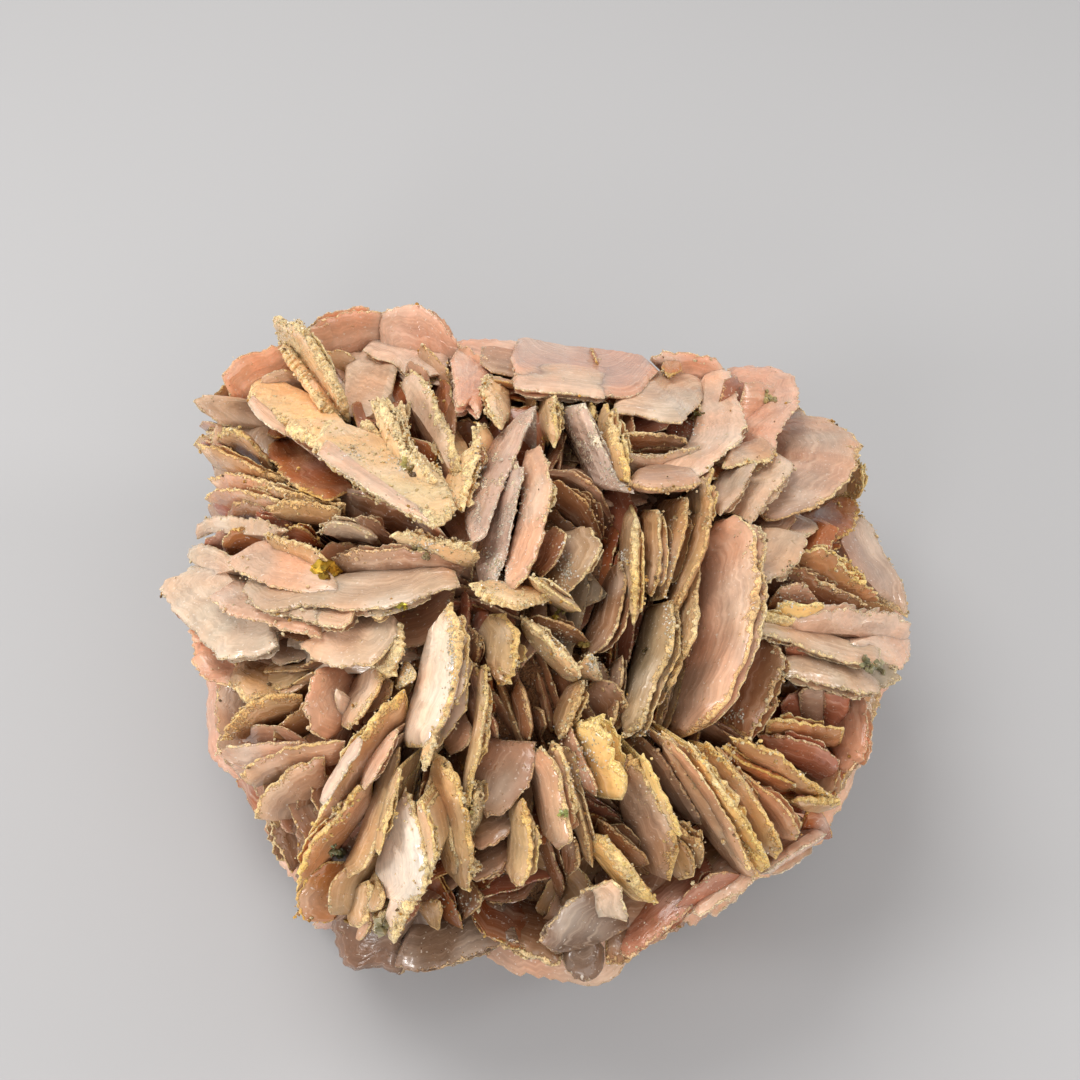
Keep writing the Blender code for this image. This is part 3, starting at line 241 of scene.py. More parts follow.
 ("r1", [(718,518),(728,519),(736,516),(750,522),(757,535),(756,560),(758,585),(757,610),(752,635),(745,658),(736,680),(730,698),(718,712),(705,725)], [(690,735),(672,720),(680,690),(692,650),(700,600),(705,560),(712,530)], 9, 4, 1.7, "pinkface"),
 ("r2a", [(706,478),(712,500),(708,525),(703,550),(692,575),(683,600),(677,618)], [(668,620),(672,590),(680,555),(686,520),(692,490)], 6, 2.5, 1.6, "tan"),
 ("r2b", [(690,498),(688,525),(682,550),(674,575),(668,598)], [(655,600),(662,560),(664,520),(665,500)], 6, 2, 1.4, "tan"),
 ("r2c", [(674,600),(672,625),(668,650),(660,665),(652,680),(645,700),(640,720),(632,735),(625,740)], [(622,720),(630,680),(640,640),(655,605)], 6, 2, 1.6, "olive"),
 ("r2d", [(703,560),(700,600),(697,638),(684,660),(676,682),(664,694)], [(654,690),(664,655),(674,612),(688,580)], 6, 1.5, 1.4, "olive"),
 ("r3a", [(641,520),(643,560),(643,590),(640,615),(637,628)], [(633,605),(630,570),(630,530),(632,505)], 6, 2.5, 1.5, "ochre"),
 ("r3b", [(657,510),(656,545),(655,575),(651,597)], [(645,590),(644,550),(645,510)], 6, 2, 1.4, "tan"),
 ("r4", [(625,655),(618,690),(615,725)], [(600,715),(602,690),(608,665)], 6, -1, 1.2, "brown"),
 ("r6", [(714,472),(716,490),(712,512),(706,525)], [(692,515),(697,495),(703,478)], 4, 2, 1.4, "ochre"),
 ("s1", [(758,466),(750,482),(742,496),(732,508),(722,519)], [(714,510),(715,485),(728,470)], 5, 2, 1.3, "milky"),
 ("s2", [(795,463),(788,478),(776,495),(765,503),(758,515),(752,522)], [(730,512),(742,490),(755,470),(775,452)], 5, 1, 1.3, "milky"),
 ("s3", [(800,408),(812,419),(832,424),(852,441),(862,451),(856,474),(838,494),(818,511),(796,518),(768,523)], [(757,512),(772,488),(790,462),(780,442),(788,420)], 8, 0, 1.6, "pinkface"),
 ("s4", [(726,369),(775,369),(798,383),(803,402),(790,422),(778,437),(778,450),(765,455)], [(735,450),(745,430),(740,400),(738,385)], 7, 0, 1.5, "pink"),
 ("s4b", [(778,448),(768,457),(740,462),(722,466)], [(728,452),(745,445),(765,440)], 3, 1.5, 1.3, "tanpink"),
 ("s5", [(862,458),(867,478),(864,497)], [(850,500),(852,480),(857,462)], 2, -0.5, 1.4, "ochre"),
 ("s6", [(858,498),(856,518),(848,532),(830,539)], [(808,535),(818,514),(840,498)], 6, -2, 1.4, "amber"),
 ("s7", [(857,512),(870,524),(878,545),(892,568),(903,595),(909,618)], [(880,600),(850,575),(835,545),(845,530)], 7, -2, 1.6, "pinkface"),
 ("s8", [(809,532),(800,552),(786,570),(772,580),(760,585)], [(756,570),(757,545),(770,528)], 4, 2, 1.4, "cream"),
 ("s9", [(798,550),(822,548),(842,560),(864,580),(882,602)], [(860,600),(835,590),(805,575),(790,560)], 6, 1, 1.5, "amberochre"),
 ("s10", [(785,562),(815,575),(850,592),(870,605)], [(850,608),(810,600),(775,590),(770,580)], 5, 0, 1.3, "brown"),
 ("s11", [(770,590),(800,585),(818,589)], (0,14), 4, 0, 1.2, "mauve"),
 ("s12a", [(778,600),(790,598),(812,603),(822,608)], [(800,618),(775,615)], 3, 1.5, 1.3, "ochreface"),
 ("s12b", [(757,613),(775,612),(797,618)], [(790,625),(757,622)], 3, 1.5, 1.3, "ochreface"),
 ("s13", [(790,618),(820,607),(850,606),(885,612),(908,618),(910,635)], [(890,650),(850,630),(815,628),(790,626)], 5, 1, 1.5, "pinkwhite"),
 ("s14", [(757,632),(790,638),(820,648),(842,655),(862,662),(880,666)], [(880,650),(845,640),(810,626),(760,623)], 4, 2, 1.4, "cream"),
 ("s15", [(912,640),(911,660),(905,670),(893,665),(865,661)], [(850,645),(875,638),(900,636)], 4, 0.5, 1.5, "pinkwhite"),
 ("s16", [(782,672),(810,678),(840,687),(862,692),(880,690),(882,680)], [(862,672),(830,664),(800,660),(782,662)], 4, 1.5, 1.4, "cream"),
 ("s17", [(897,668),(896,682),(882,690)], [(868,682),(870,668),(885,664)], 3, 0, 1.4, "grey"),
 ("s18", [(785,648),(820,655),(862,668)], [(856,682),(820,674),(788,664)], 5, -1, 1.3, "rose"),
 ("s19", [(781,648),(786,662),(776,684),(768,702),(758,722),(748,738)], [(722,722),(735,690),(748,650),(757,634)], 6, 1, 1.5, "brown"),
 ("s20a", [(862,690),(870,700),(872,725),(873,745),(868,765),(860,768),(852,776),(840,772)], [(835,755),(840,720),(845,695)], 6, -2, 1.6, "peach"),
 ("s20b", [(800,692),(808,688),(826,690)], [(824,724),(812,724),(800,720)], 6, -3, 1.4, "mauve"),
 ("s20c", [(824,689),(838,690),(850,697)], [(846,726),(834,726),(822,722)], 6, -2.5, 1.4, "rose"),
 ("s21", [(768,722),(790,724),(815,730),(845,728)], [(840,745),(800,740),(765,735)], 5, -1, 1.3, "amberochre"),
 ("s22", [(756,735),(785,735),(820,745),(840,760)], [(835,785),(800,760),(765,745)], 6, -2, 1.3, "rose"),
 # --- thin spears and laminae standing on the larger plates
 ("fs1", [(400,732),(388,752),(374,778),(366,792)], [(361,785),(370,768),(384,747),(396,729)], 3, 4.0, 1.0, "wax"),
 ("fs2", [(437,736),(434,752),(427,771)], [(423,768),(427,750),(432,735)], 2, 4.2, 1.2, "crust"),
 # fs3: a thin pale lamina on f7's left edge; its pale tone there is a painted highlight
 ("fs3", [(364,741),(350,763),(336,786),(325,807)], [(320,801),(330,781),(344,758),(358,737)], 2, 4.4, 0.8, "pinkwhite"),
 ("fs4", [(488,664),(490,700),(485,740),(477,775),(471,808)], [(465,805),(470,772),(478,738),(483,700),(482,666)], 3, 2.8, 1.1, "ochre"),
 ("fs5", [(404,770),(396,800),(388,830),(380,856)], [(376,850),(382,826),(390,796),(398,768)], 2, 4.2, 0.9, "ochre"),
 ("fs6", [(424,800),(430,825),(434,852),(431,885)], [(426,884),(429,852),(424,826),(418,802)], 2, 5.2, 0.9, "ochre"),
 ("ns1", [(690,740),(712,765),(735,798),(756,832),(770,856)], [(764,858),(746,830),(724,796),(704,768),(686,744)], 2, 5.4, 1.0, "ochreface"),
 ("ns2", [(668,735),(690,768),(714,806),(738,846),(752,868)], [(748,870),(730,842),(706,804),(684,770),(664,738)], 2, 5.0, 0.9, "tanpink"),
 ("ns3", [(645,752),(660,778),(674,806),(684,832)], [(680,836),(668,808),(654,782),(640,756)], 2, 4.6, 0.9, "ochreface"),
 # --- low front
 # the dim tone of these base plates is partly painted shade of the underside
 ("z1", [(340,895),(334,920),(337,945),(343,966),(375,966),(405,972)], [(400,940),(370,930),(355,900)], 5, -3, 2.0, "dim"),
 ("z2", [(395,972),(430,972),(465,962),(500,950),(520,945)], [(510,915),(460,905),(410,920)], 7, -3, 2.0, "dim"),
 ("z3", [(500,948),(530,958),(560,966)], [(560,930),(530,915),(500,915)], 6, -3, 1.8, "brown"),
 ("z4a", [(590,886),(610,880),(622,884),(628,905),(628,920)], [(600,915),(592,900)], 3, 0, 1.5, "milky"),
 ("z4b", [(556,957),(540,942),(553,921),(572,900),(592,890)], [(628,915),(605,930),(575,945)], 4, -1, 1.8, "dim"),
 ("z5", [(557,960),(575,978),(592,980),(605,966),(606,950)], [(595,935),(572,940)], 4, -2, 2.0, "dim"),
 ("z6", [(606,968),(628,962),(640,952)], [(640,925),(620,915),(606,930)], 5, -2, 1.8, "brown"),
 # --- an orange-brown spot
 ("tcs", [(661,367),(668,377),(682,370)], [(680,361),(665,359)], 2, 2.6, 0.7, "orange"),
]

# ---------------------------------------------------------------- sheet and growth dome
LOOK = np.array([0.0, math.cos(TILT), -math.sin(TILT)])
RIGHT = np.array([1.0, 0.0, 0.0])
UP = np.array([0.0, math.sin(TILT), math.cos(TILT)])


def ray(u, v):
    d = LOOK + (u - 540.0) / 540.0 * TAN * RIGHT + (540.0 - v) / 540.0 * TAN * UP
    return d / np.linalg.norm(d)


EYE = MIDDLE - REACH * ray(537.0, 642.0)


def sheet(p):
    q = np.asarray(p) - EYE
    w = q @ LOOK
    return 540.0 + 540.0 * (q @ RIGHT) / w / TAN, 540.0 - 540.0 * (q @ UP) / w / TAN


def dome_distance(u, v):
    d = ray(u, v) / DOME_R
    o = (EYE - DOME_C) / DOME_R
    a, b, c = d @ d, o @ d, o @ o - 1.0
    return (-b - math.sqrt(max(b * b - a * c, 0.0))) / a


def plate_of(crest, foot, depth, height):
    """The plane of a plate and its outline, as in the solid."""
    if isinstance(foot, tuple):
        foot = [(u + foot[0], v + foot[1]) for u, v in reversed(crest)]
    top = np.array([EYE + ray(u, v) * (dome_distance(u, v) - height) for u, v in crest])
    low = np.array([EYE + ray(u, v) * (dome_distance(u, v) - height + depth) for u, v in foot])
    both = np.vstack([top, low])
    weight = np.array([1.0 / len(top)] * len(top) + [1.0 / len(low)] * len(low))
    middle = (both * weight[:, None]).sum(axis=0) / weight.sum()
    _, _, vt = np.linalg.svd((both - middle) * np.sqrt(weight)[:, None])
    n = vt[2]
    view = (EYE - middle) / np.linalg.norm(EYE - middle)
    if n @ view < 0:
        n = -n
    face = n @ view
    if face < 0.22:
        side = n - face * view
        side /= np.linalg.norm(side)
        n = 0.22 * view + math.sqrt(1 - 0.22**2) * side

    def on_plane(u, v):
        d = ray(u, v)
        return EYE + d * (((middle - EYE) @ n) / (d @ n))

    top = np.array([on_plane(u, v) for u, v in crest])
    low = np.array([on_plane(u, v) for u, v in foot])
    down = low.mean(axis=0) - top.mean(axis=0)
    down /= np.linalg.norm(down)
    return top, low, n, down


# ---------------------------------------------------------------- noise
def lattice(i, j, k, seed):
    h = (i * 374761393 + j * 668265263 + k * 1440662683 + seed * 1274126177) & 0xFFFFFFFF
    h = ((h ^ (h >> 13)) * 1274126177) & 0xFFFFFFFF
    h = ((h ^ (h >> 15)) * 2246822519) & 0xFFFFFFFF
    return ((h ^ (h >> 16)) & 0xFFFF) / 32767.5 - 1.0


def noise(p, size, seed):
    """Smooth noise from -1 to 1 at the points p, with lumps of the given size in mm."""
    q = np.atleast_2d(p) / size
    c = np.floor(q).astype(np.int64)
    f = q - c
    f = f * f * (3.0 - 2.0 * f)
    total = np.zeros(len(q))
    for a in (0, 1):
        wa = f[:, 0] if a else 1.0 - f[:, 0]
        for b in (0, 1):
            wb = f[:, 1] if b else 1.0 - f[:, 1]
            for d in (0, 1):
                wd = f[:, 2] if d else 1.0 - f[:, 2]
                total += wa * wb * wd * lattice(c[:, 0] + a, c[:, 1] + b, c[:, 2] + d, seed)
    return total


def line_noise(x, size, seed):
    """The same along a line."""
    p = np.zeros((len(x), 3))
    p[:, 0] = x
    p[:, 1] = seed * 7.31
    return noise(p, size, seed)


# ---------------------------------------------------------------- tones
def rgb(code):
    c = np.array([int(code[i:i + 2], 16) / 255.0 for i in (0, 2, 4)])
    return np.where(c <= 0.04045, c / 12.92, ((c + 0.055) / 1.055) ** 2.4)


# face near the rim, face near the root (its darkness partly painted shade of the recesses), crust colour, how far the
# crust reaches, gloss
# brown, amber and mauve also go to plates and fillers that lie in shade, and there their darkness is partly painted
# shade
TONES = {
    "crust": ("e2be90", "ae8252", "f0cf98", 0.75, 0.3),
    "pinkcrust": ("d1aa8f", "a4735c", "e9c78c", 0.55, 0.9),
    # glossy: its pale face is partly the blade's own colour, partly a painted highlight of its sheen
    "glossy": ("e0c6b0", "a88468", "e4be82", 0.55, 1.0),
    "white": ("c8b19a", "ac8870", "d5be9e", 0.10, 0.6),
    "cream": ("c3a58a", "9f755d", "d4b88c", 0.18, 0.7),
    "creampink": ("cca58a", "a2725d", "dcb78c", 0.18, 0.7),
    "milky": ("ceb299", "a0765b", "e2c195", 0.15, 0.9),
    "pink": ("d5a68d", "a56f57", "e8c3a1", 0.12, 0.8),
    "pinkwhite": ("deb89e", "b07c64", "edd2b0", 0.12, 1.0),
    "pinkface": ("c6a088", "946c56", "e0b884", 0.38, 0.8),
    "peach": ("d6a284", "a36b50", "e8bd91", 0.12, 0.4),
    "rose": ("ad6f55", "7b3e29", "cfa279", 0.18, 0.6),
    "mauve": ("b48b70", "7a5340", "d5ac81", 0.22, 0.5),
    "mauvepink": ("bc927b", "8c5945", "e0b98c", 0.30, 0.7),
    "tanpink": ("c49979", "8c5d45", "e4bb80", 0.32, 0.5),
    "tan": ("b68e64", "7b533c", "dab074", 0.38, 0.4),
    "olive": ("ab8c69", "74563a", "d1ac74", 0.38, 0.4),
    "grey": ("a28c72", "6d5643", "bea27b", 0.30, 0.4),
    "ochre": ("c8a278", "8a6244", "e8c07a", 0.55, 0.4),
    "ochreface": ("e5b976", "93673d", "f8ce80", 0.75, 0.4),
    "amber": ("a15d38", "642816", "d4a357", 0.28, 0.6),
    "amberochre": ("bd865c", "76452a", "edbf6f", 0.5, 0.6),
    "mauverim": ("ac866c", "6e4e3c", "deb676", 0.55, 0.6),
    "wax": ("c49476", "885844", "d8b48c", 0.15, 0.8),
    "orange": ("bc7844", "70401e", "e0a850", 0.4, 0.6),
    "dusty": ("bca08f", "8f6958", "d8c9b6", 0.14, 0.8),
    # dim: the low front plates darkened, partly their own brown-pink, partly painted shade of the underside
    "dim": ("7a5c48", "4c3628", "98785c", 0.1, 0.5),
    "brown": ("926649", "5a3523", "bf9867", 0.30, 0.4),
}
CREAM, UMBER = "f0d6a6", "9a7040"


# ---------------------------------------------------------------- lamellae
def smooth_line(points, count):
    """Catmull-Rom through the points, count points at even distance."""
    p = np.asarray(points, float)
    if len(p) == 2:
        fine = p[0] + (p[1] - p[0]) * np.linspace(0, 1, 40)[:, None]
    else:
        q = np.vstack([2 * p[0] - p[1], p, 2 * p[-1] - p[-2]])
        t = np.linspace(0, 1, 14, endpoint=False)[:, None]
        parts = []
        for i in range(1, len(q) - 2):
            a, b, c, d = q[i - 1], q[i], q[i + 1], q[i + 2]
            parts.append(0.5 * ((2 * b) + (c - a) * t + (2 * a - 5 * b + 4 * c - d) * t**2
                                + (3 * b - a - 3 * c + d) * t**3))
        fine = np.vstack(parts + [p[-1:]])
    run = np.concatenate([[0], np.cumsum(np.linalg.norm(np.diff(fine, axis=0), axis=1))])
    share = np.linspace(0, 1, count) if np.isscalar(count) else np.asarray(count)
    soft = np.stack([np.interp(share * run[-1], run, fine[:, k]) for k in range(3)], axis=1)
    hard_run = np.concatenate([[0], np.cumsum(np.linalg.norm(np.diff(p, axis=0), axis=1))])
    hard = np.stack([np.interp(share * hard_run[-1], hard_run, p[:, k]) for k in range(3)], axis=1)
    return 0.22 * soft + 0.78 * hard, run[-1]


class Group:
    """Closed lamellae gathered into one mesh."""

    def __init__(self, name):
        self.name = name
        self.co, self.quads = [], []
        self.colour, self.crust, self.crust_tint, self.lay, self.gloss, self.uv = [], [], [], [], [], []
        self.count = 0

    def add(self, co, quads, colour, crust, crust_tint, lay, gloss, uv):
        self.co.append(co)
        self.quads.append(quads + self.count)
        self.colour.append(colour)
        self.crust.append(crust)
        self.crust_tint.append(crust_tint)
        self.lay.append(lay)
        self.gloss.append(gloss)
        self.uv.append(uv)
        self.count += len(co)

    def triangles(self):
        return 2 * sum(len(q) for q in self.quads)


GROUPS = {}
CAKE = []  # points on caked faces, with their outward direction and colour, for the grains
RIMS = []  # points on crusted rims, with their outward direction and colour, for the grains


def group(name):
    if name not in GROUPS:
        GROUPS[name] = Group(name)
    return GROUPS[name]


def depth_below(p):
    """How far the points lie below the growth dome, roughly, in mm."""
    r = np.linalg.norm((p - DOME_C) / DOME_R, axis=1)
    return (1.0 - r) * 34.0


def lamella(into, top, foot, root, n, shift, splay, thick, recess, trim, tone, seed, rough, bend, sharp, bare, fine=1.0,
            lumpy=0.0):
    """One closed plate: rim along top, face down to foot, then on into the mass to root.

    It is moved along n by shift, flat on both faces, with a bevelled and broken rim."""
    rng = random.Random(seed)
    caked = tone == "crust" and fine > 0.8 and bare > 0.7
    _, length = smooth_line(top, 30)
    step = (0.36 if caked else 0.50) / fine
    ns = int(max(6, min(90 if caked else 54, length * (1 - trim[0] - trim[1]) / step + 1)))
    s = np.linspace(trim[0], 1.0 - trim[1], ns)
    c, _ = smooth_line(top, s)
    f, _ = smooth_line(foot, s)
    r, _ = smooth_line(root, s)
    span = f - c
    reach = np.maximum(np.linalg.norm(span, axis=1), 0.05)
    mean = reach.mean()
    run = (s - s[0]) * length
    # towards its two ends the plate narrows and thins, to a point or to a broken end
    share = run / max(run[-1], 1e-6)
    least, most = 0.06 + 0.16 * sharp, 0.20 + 0.28 * sharp
    tip = np.minimum(np.minimum(share / rng.uniform(least, most), (1.0 - share) / rng.uniform(least, most)), 1.0)
    spindle = 1.0 - (0.30 + 0.50 * sharp) * (1.0 - tip) ** 2
    # the rim is broken and jagged
    jag = (0.14 * line_noise(run, 2.6, seed) + 0.16 * line_noise(run, 1.1, seed + 1)
           + 0.55 * np.round(1.7 * line_noise(run, 3.0, seed + 2)) / 1.7) * rough
    jag = jag + 0.34 * rough * np.array([rng.uniform(-1, 1) for _ in range(ns)])
    into_rim = recess + 0.15 * rough + jag
    levels, lift = [0.0, 0.22, 0.6], [0.0, 0.0, 0.0]
    if fine > 0.8:
        a, b, e = rng.uniform(0.9, 1.8), rng.uniform(2.6, 4.0), rng.uniform(5.0, 7.5)
        levels += [a, a + 0.10, b, b + 0.10, e, e + 0.10]
        u, v, q = rng.uniform(-0.03, 0.07), rng.uniform(-0.03, 0.08), rng.uniform(-0.03, 0.08)
        lift += [0.0, u, u, u + v, u + v, u + v + q]
    else:
        levels, lift = [0.0, 0.3, 1.2, 3.0], [0.0, 0.0, 0.0, 0.05]
    if caked:
        levels = [0.0, 0.22, 0.5] + list(np.arange(0.85, mean, 0.40))
        lift = [0.0] * len(levels)
    keep = [k for k, x in enumerate(levels) if x < mean * 0.85]
    w = np.array([levels[k] for k in keep] + [mean]) / mean
    lift = np.array([lift[k] for k in keep] + [lift[keep[-1]]] * 3)
    nf = len(w)
    start = np.clip(into_rim / reach, -0.25, 0.75)
    start = np.clip(start + (0.04 + 0.93 * sharp) * (1.0 - tip) ** 1.1 * (1 - np.maximum(start, 0)), -0.25, 0.97)
    # the steps follow the rim, but wander
    wander = (0.55 * line_noise(run, 5.0, seed + 8) + 0.30 * line_noise(run, 1.9, seed + 9))[:, None]
    wander = wander * np.clip(np.minimum(w * mean - 0.5, (1.0 - w) * mean), 0.0, 1.2)[None, :] / mean
    ww = start[:, None] + (1.0 - start[:, None]) * (w[None, :] + wander)
    grid = c[:, None, :] + span[:, None, :] * ww[:, :, None]
    grid = np.concatenate([grid, (f + (r - f) * 0.4)[:, None, :], r[:, None, :]], axis=1)
    nq = nf + 2
    below = np.linalg.norm(r - f, axis=1)[:, None]
    far = np.concatenate([w[None, :] * (reach * (1 - start))[:, None],
                          (reach * (1 - start))[:, None] + 0.4 * below, (reach * (1 - start))[:, None] + below], axis=1)
    ww = np.concatenate([ww, np.full((ns, 2), 1.0)], axis=1)
    side = np.minimum(run, run[-1] - run)[:, None] + 0.0 * far
    edge = np.minimum(far, side)
    crusted = TONES[tone][3] * bare
    # lens-like section: thin at the rim, full a few millimetres in
    blunt = min(0.12 + 0.24 * crusted, 0.36)
    into_body = np.minimum(edge / min(1.7, 0.6 * mean + 0.3), 1.0)
    wedge = blunt + (1.0 - blunt) * (1.0 - (1.0 - into_body) ** 2)
    half = 0.5 * thick * wedge * spindle[:, None]
    flat = grid.reshape(-1, 3)
    lumps = (0.08 * noise(flat, 4.0, seed % 97 + 3) + 0.03 * noise(flat, 1.0, seed % 89 + 5)).reshape(ns, nq)
    if lumpy:
        lumps = lumps + lumpy * (noise(flat, 6.5, 21) + 0.6 * noise(flat, 2.8, 22) + 0.25 * noise(flat, 1.3, 24)).reshape(ns, nq)
    # growth steps: the plate thickens in terraces away from the rim
    steps = 0.030 * np.tanh(4.0 * np.sin(far * 1.9 + 2.2 * noise(flat, 4.0, seed % 83).reshape(ns, nq)))
    bow = bend[0] * (1.0 - (2.0 * (s[:, None] - 0.5)) ** 2) + bend[1] * (1.0 - ww) ** 2
    offset = shift * (1.0 + splay * (1.0 - ww)) * (0.35 + 0.65 * spindle[:, None]) + bow
    crumble = np.exp(-edge / 0.8) * rough
    grit_f = 0.15 * crumble * noise(flat, 0.55, seed % 71 + 9).reshape(ns, nq)
    grit_b = 0.15 * crumble * noise(flat + 31.0, 0.55, seed % 67 + 11).reshape(ns, nq)
    if caked:
        cake = (0.16 * noise(flat, 1.1, 83) + 0.14 * noise(flat, 0.6, 85) + 0.12 * np.abs(noise(flat, 2.3, 87))).reshape(ns, nq)
        grit_f = grit_f + cake * np.minimum(0.3 + edge, 1.0) * np.clip(0.5 + noise(flat, 4.0, 88), 0.1, 1).reshape(ns, nq)
    taper = 0.35 + 0.65 * into_body
    half_f = np.maximum(half + (lumps + steps) * taper + grit_f + lift[None, :] * min(thick, 1.0), 0.06)
    half_b = np.maximum(half + (steps - lumps) * taper + grit_b, 0.06)
    front = grid + n * (offset + half_f)[:, :, None]
    back = grid + n * (offset - half_b)[:, :, None]
    # the bevel all round
    loop = ([(i, 0) for i in range(ns)] + [(ns - 1, j) for j in range(1, nq)]
            + [(i, nq - 1) for i in range(ns - 2, -1, -1)] + [(0, j) for j in range(nq - 2, 0, -1)])
    li, lj = np.array(loop).T
    along = np.gradient(c, axis=0)
    along /= np.linalg.norm(along, axis=1)[:, None]
    up = -span / reach[:, None]
    out = (up[li] * (lj == 0)[:, None] - up[li] * (lj == nq - 1)[:, None]
           + along[li] * (li == ns - 1)[:, None] - along[li] * (li == 0)[:, None])
    out /= np.maximum(np.linalg.norm(out, axis=1), 1e-6)[:, None]
    wide = (half_f + half_b)[li, lj]
    lean = rng.uniform(0.25, 0.75)
    bulge = wide * (0.16 + 0.42 * rough * (0.4 + bare * 0.6) * noise(front[li, lj], 0.75, seed % 61)) + 0.02
    middle = front[li, lj] * lean + back[li, lj] * (1 - lean) + out * bulge[:, None]
    count = ns * nq
    index_f = np.arange(count).reshape(ns, nq)
    index_b = index_f + count
    m0 = 2 * count + np.arange(len(loop))
    m1 = np.roll(m0, -1)
    f0, b0 = index_f[li, lj], index_b[li, lj]
    f1, b1 = np.roll(f0, -1), np.roll(b0, -1)
    co = np.vstack([front.reshape(-1, 3), back.reshape(-1, 3), middle])
    qf = np.stack([index_f[:-1, :-1], index_f[1:, :-1], index_f[1:, 1:], index_f[:-1, 1:]], axis=-1).reshape(-1, 4)
    qb = np.stack([index_b[:-1, :-1], index_b[:-1, 1:], index_b[1:, 1:], index_b[1:, :-1]], axis=-1).reshape(-1, 4)
    qw = np.vstack([np.stack([f1, f0, m0, m1], axis=-1), np.stack([m1, m0, b0, b1], axis=-1)])
    quads = np.vstack([qf, qb, qw])
    turn = np.cross(c[-1] - c[0], span.mean(axis=0)) @ n
    if turn < 0:
        quads = quads[:, ::-1]

    def each(x):
        x = np.broadcast_to(x, (ns, nq))
        return np.concatenate([x.reshape(-1), x.reshape(-1), x[li, lj]])

    # colour
    face, deep, crust_rgb, crust_far, gloss = TONES[tone]
    crust_far *= bare
    face, deep, crust_rgb = rgb(face), rgb(deep), rgb(crust_rgb)
    vary = 1.0 + rng.uniform(-0.09, 0.09)
    warm = rng.uniform(-0.04, 0.04)
    tint = np.array([vary * (1 + warm), vary, vary * (1 - warm)])
    # towards the root and away from the rim the face takes the darker root-side tone: partly the crystal's own deeper
    # colour, partly painted shade of the recesses
    low = np.clip((depth_below(co) - 1.5) / 13.0, 0.0, 1.0)
    far_all, edge_all = each(far), each(edge)
    on_rim = np.concatenate([np.zeros(2 * count), np.ones(len(loop))])
    mix = np.clip(0.20 * np.minimum(far_all / 9.0, 1.0) + 0.95 * low + 0.10 * noise(co, 3.0, 17), 0.0, 1.0)
    colour = (face * (1 - mix[:, None]) + deep * mix[:, None]) * tint
    patch = np.clip(0.5 + 0.8 * noise(co, 5.5, 53) + 0.4 * noise(co, 2.4, 59), 0, 1)[:, None]
    colour = colour * (1 + (patch - 0.5) * np.array([0.16, -0.04, -0.16]))
    milk = np.clip(1.4 * noise(co, 3.6, 61) - 0.25, 0, 1)[:, None] * (1 - mix[:, None])
    colour = colour + milk * 0.42 * (rgb("e6d4c2") - colour)
    # thin rims are paler
    along_rim = np.clip(0.45 + 1.1 * noise(co, 5.2, 47) + 0.4 * noise(co, 2.0, 49), 0.0, 1.0)
    thin = (np.exp(-edge_all / (0.8 + 1.3 * crust_far)) * (0.10 + 0.55 * crust_far) * along_rim)[:, None]
    colour = colour + thin * (crust_rgb - colour)
    # painted shade: the colour darkens with depth below the growth dome, where the recesses lie in shade
    painted_recess_shade = np.clip((depth_below(co) - 7.5) / 9.0, 0.0, 1.0)
    colour = colour * (1 - 0.42 * painted_recess_shade[:, None] * np.array([0.75, 0.95, 1.0]))
    spread = 0.35 + 1.9 * (along_rim - 0.35) + 0.9 * noise(co, 3.0, 23) + 0.8 * noise(co, 1.2, 29)
    reach_in = np.maximum(1.7 * crust_far * spread, 0.05)
    crust = np.clip(1.0 - edge_all / reach_in, 0.0, 1.0) * np.clip(0.35 + crust_far, 0, 1)
    crust = np.maximum(crust, np.clip(crust_far - 0.75, 0, 1) * 2.0 * np.clip(0.4 + 0.9 * noise(co, 1.9, 37), 0, 1))
    crust = np.maximum(crust, on_rim * np.clip(crust_far * 1.5 + 1.3 * (along_rim - 0.75) + 0.4 * noise(co, 1.8, 43), 0, 1))
    if tone == "dusty":
        crust = np.maximum(crust, 0.20 + 0.34 * noise(co, 2.4, 97) + 0.18 * noise(co, 0.9, 98))
    crust = crust * (1.0 - 0.7 * painted_recess_shade) * (1.0 - 0.45 * low)
    grain = (1.0 + 0.16 * noise(co, 0.8, 41))[:, None]
    pale = np.clip(0.25 + 0.9 * noise(co, 4.2, 67), 0, 1)[:, None] * 0.7
    # the crust tint turns umber in patches, and more so with depth below the dome: that depth part is painted shade
    brown = np.clip(0.8 * noise(co, 2.3, 71) - 0.2 + 0.4 * low, 0, 1)[:, None] * 0.6
    crust_tint = crust_rgb + pale * (rgb(CREAM) - crust_rgb)
    crust_tint = (crust_tint + brown * (rgb(UMBER) - crust_tint)) * grain * tint
    crust_tint = np.clip(crust_tint, 0, 1)
    lay = np.stack([each(run[:, None]) + 3.1 * (seed % 211), far_all + 0.7 * (seed % 53),
                    np.full(len(co), float(seed % 173))], axis=1)
    co[:, 2] = np.maximum(co[:, 2], 0.0)
    uv = (ns, nq, run[-1], far.mean(axis=0), count, len(loop))
    group(into).add(co, quads, colour, crust, crust_tint, lay, np.full(len(co), gloss), uv)
    if crust_far > 0.09:
        clump = 0.7 + 0.9 * noise(c, 4.0, 77)
        sunken = depth_below(c)
        for i in range(1, ns - 1):
            if rng.random() > (0.25 + 1.9 * crust_far) * clump[i] or sunken[i] > 8.0:
                continue
            j = min(rng.choice((0, 0, 0, 1, 1, 2, 3)), nf - 1)
            lit = rng.random() < 0.65
            p = (front if lit else back)[i, j]
            RIMS.append((p, n if lit else -n, up[i], crust_rgb * tint, crust_far))
        if caked:
            for _ in range(int(mean * length * 1.8)):
                i, j = rng.randrange(1, ns), rng.randrange(1, nf)
                a, b = rng.random(), rng.random()
                p = front[i, j] * a + front[i - 1, j] * (1 - a)
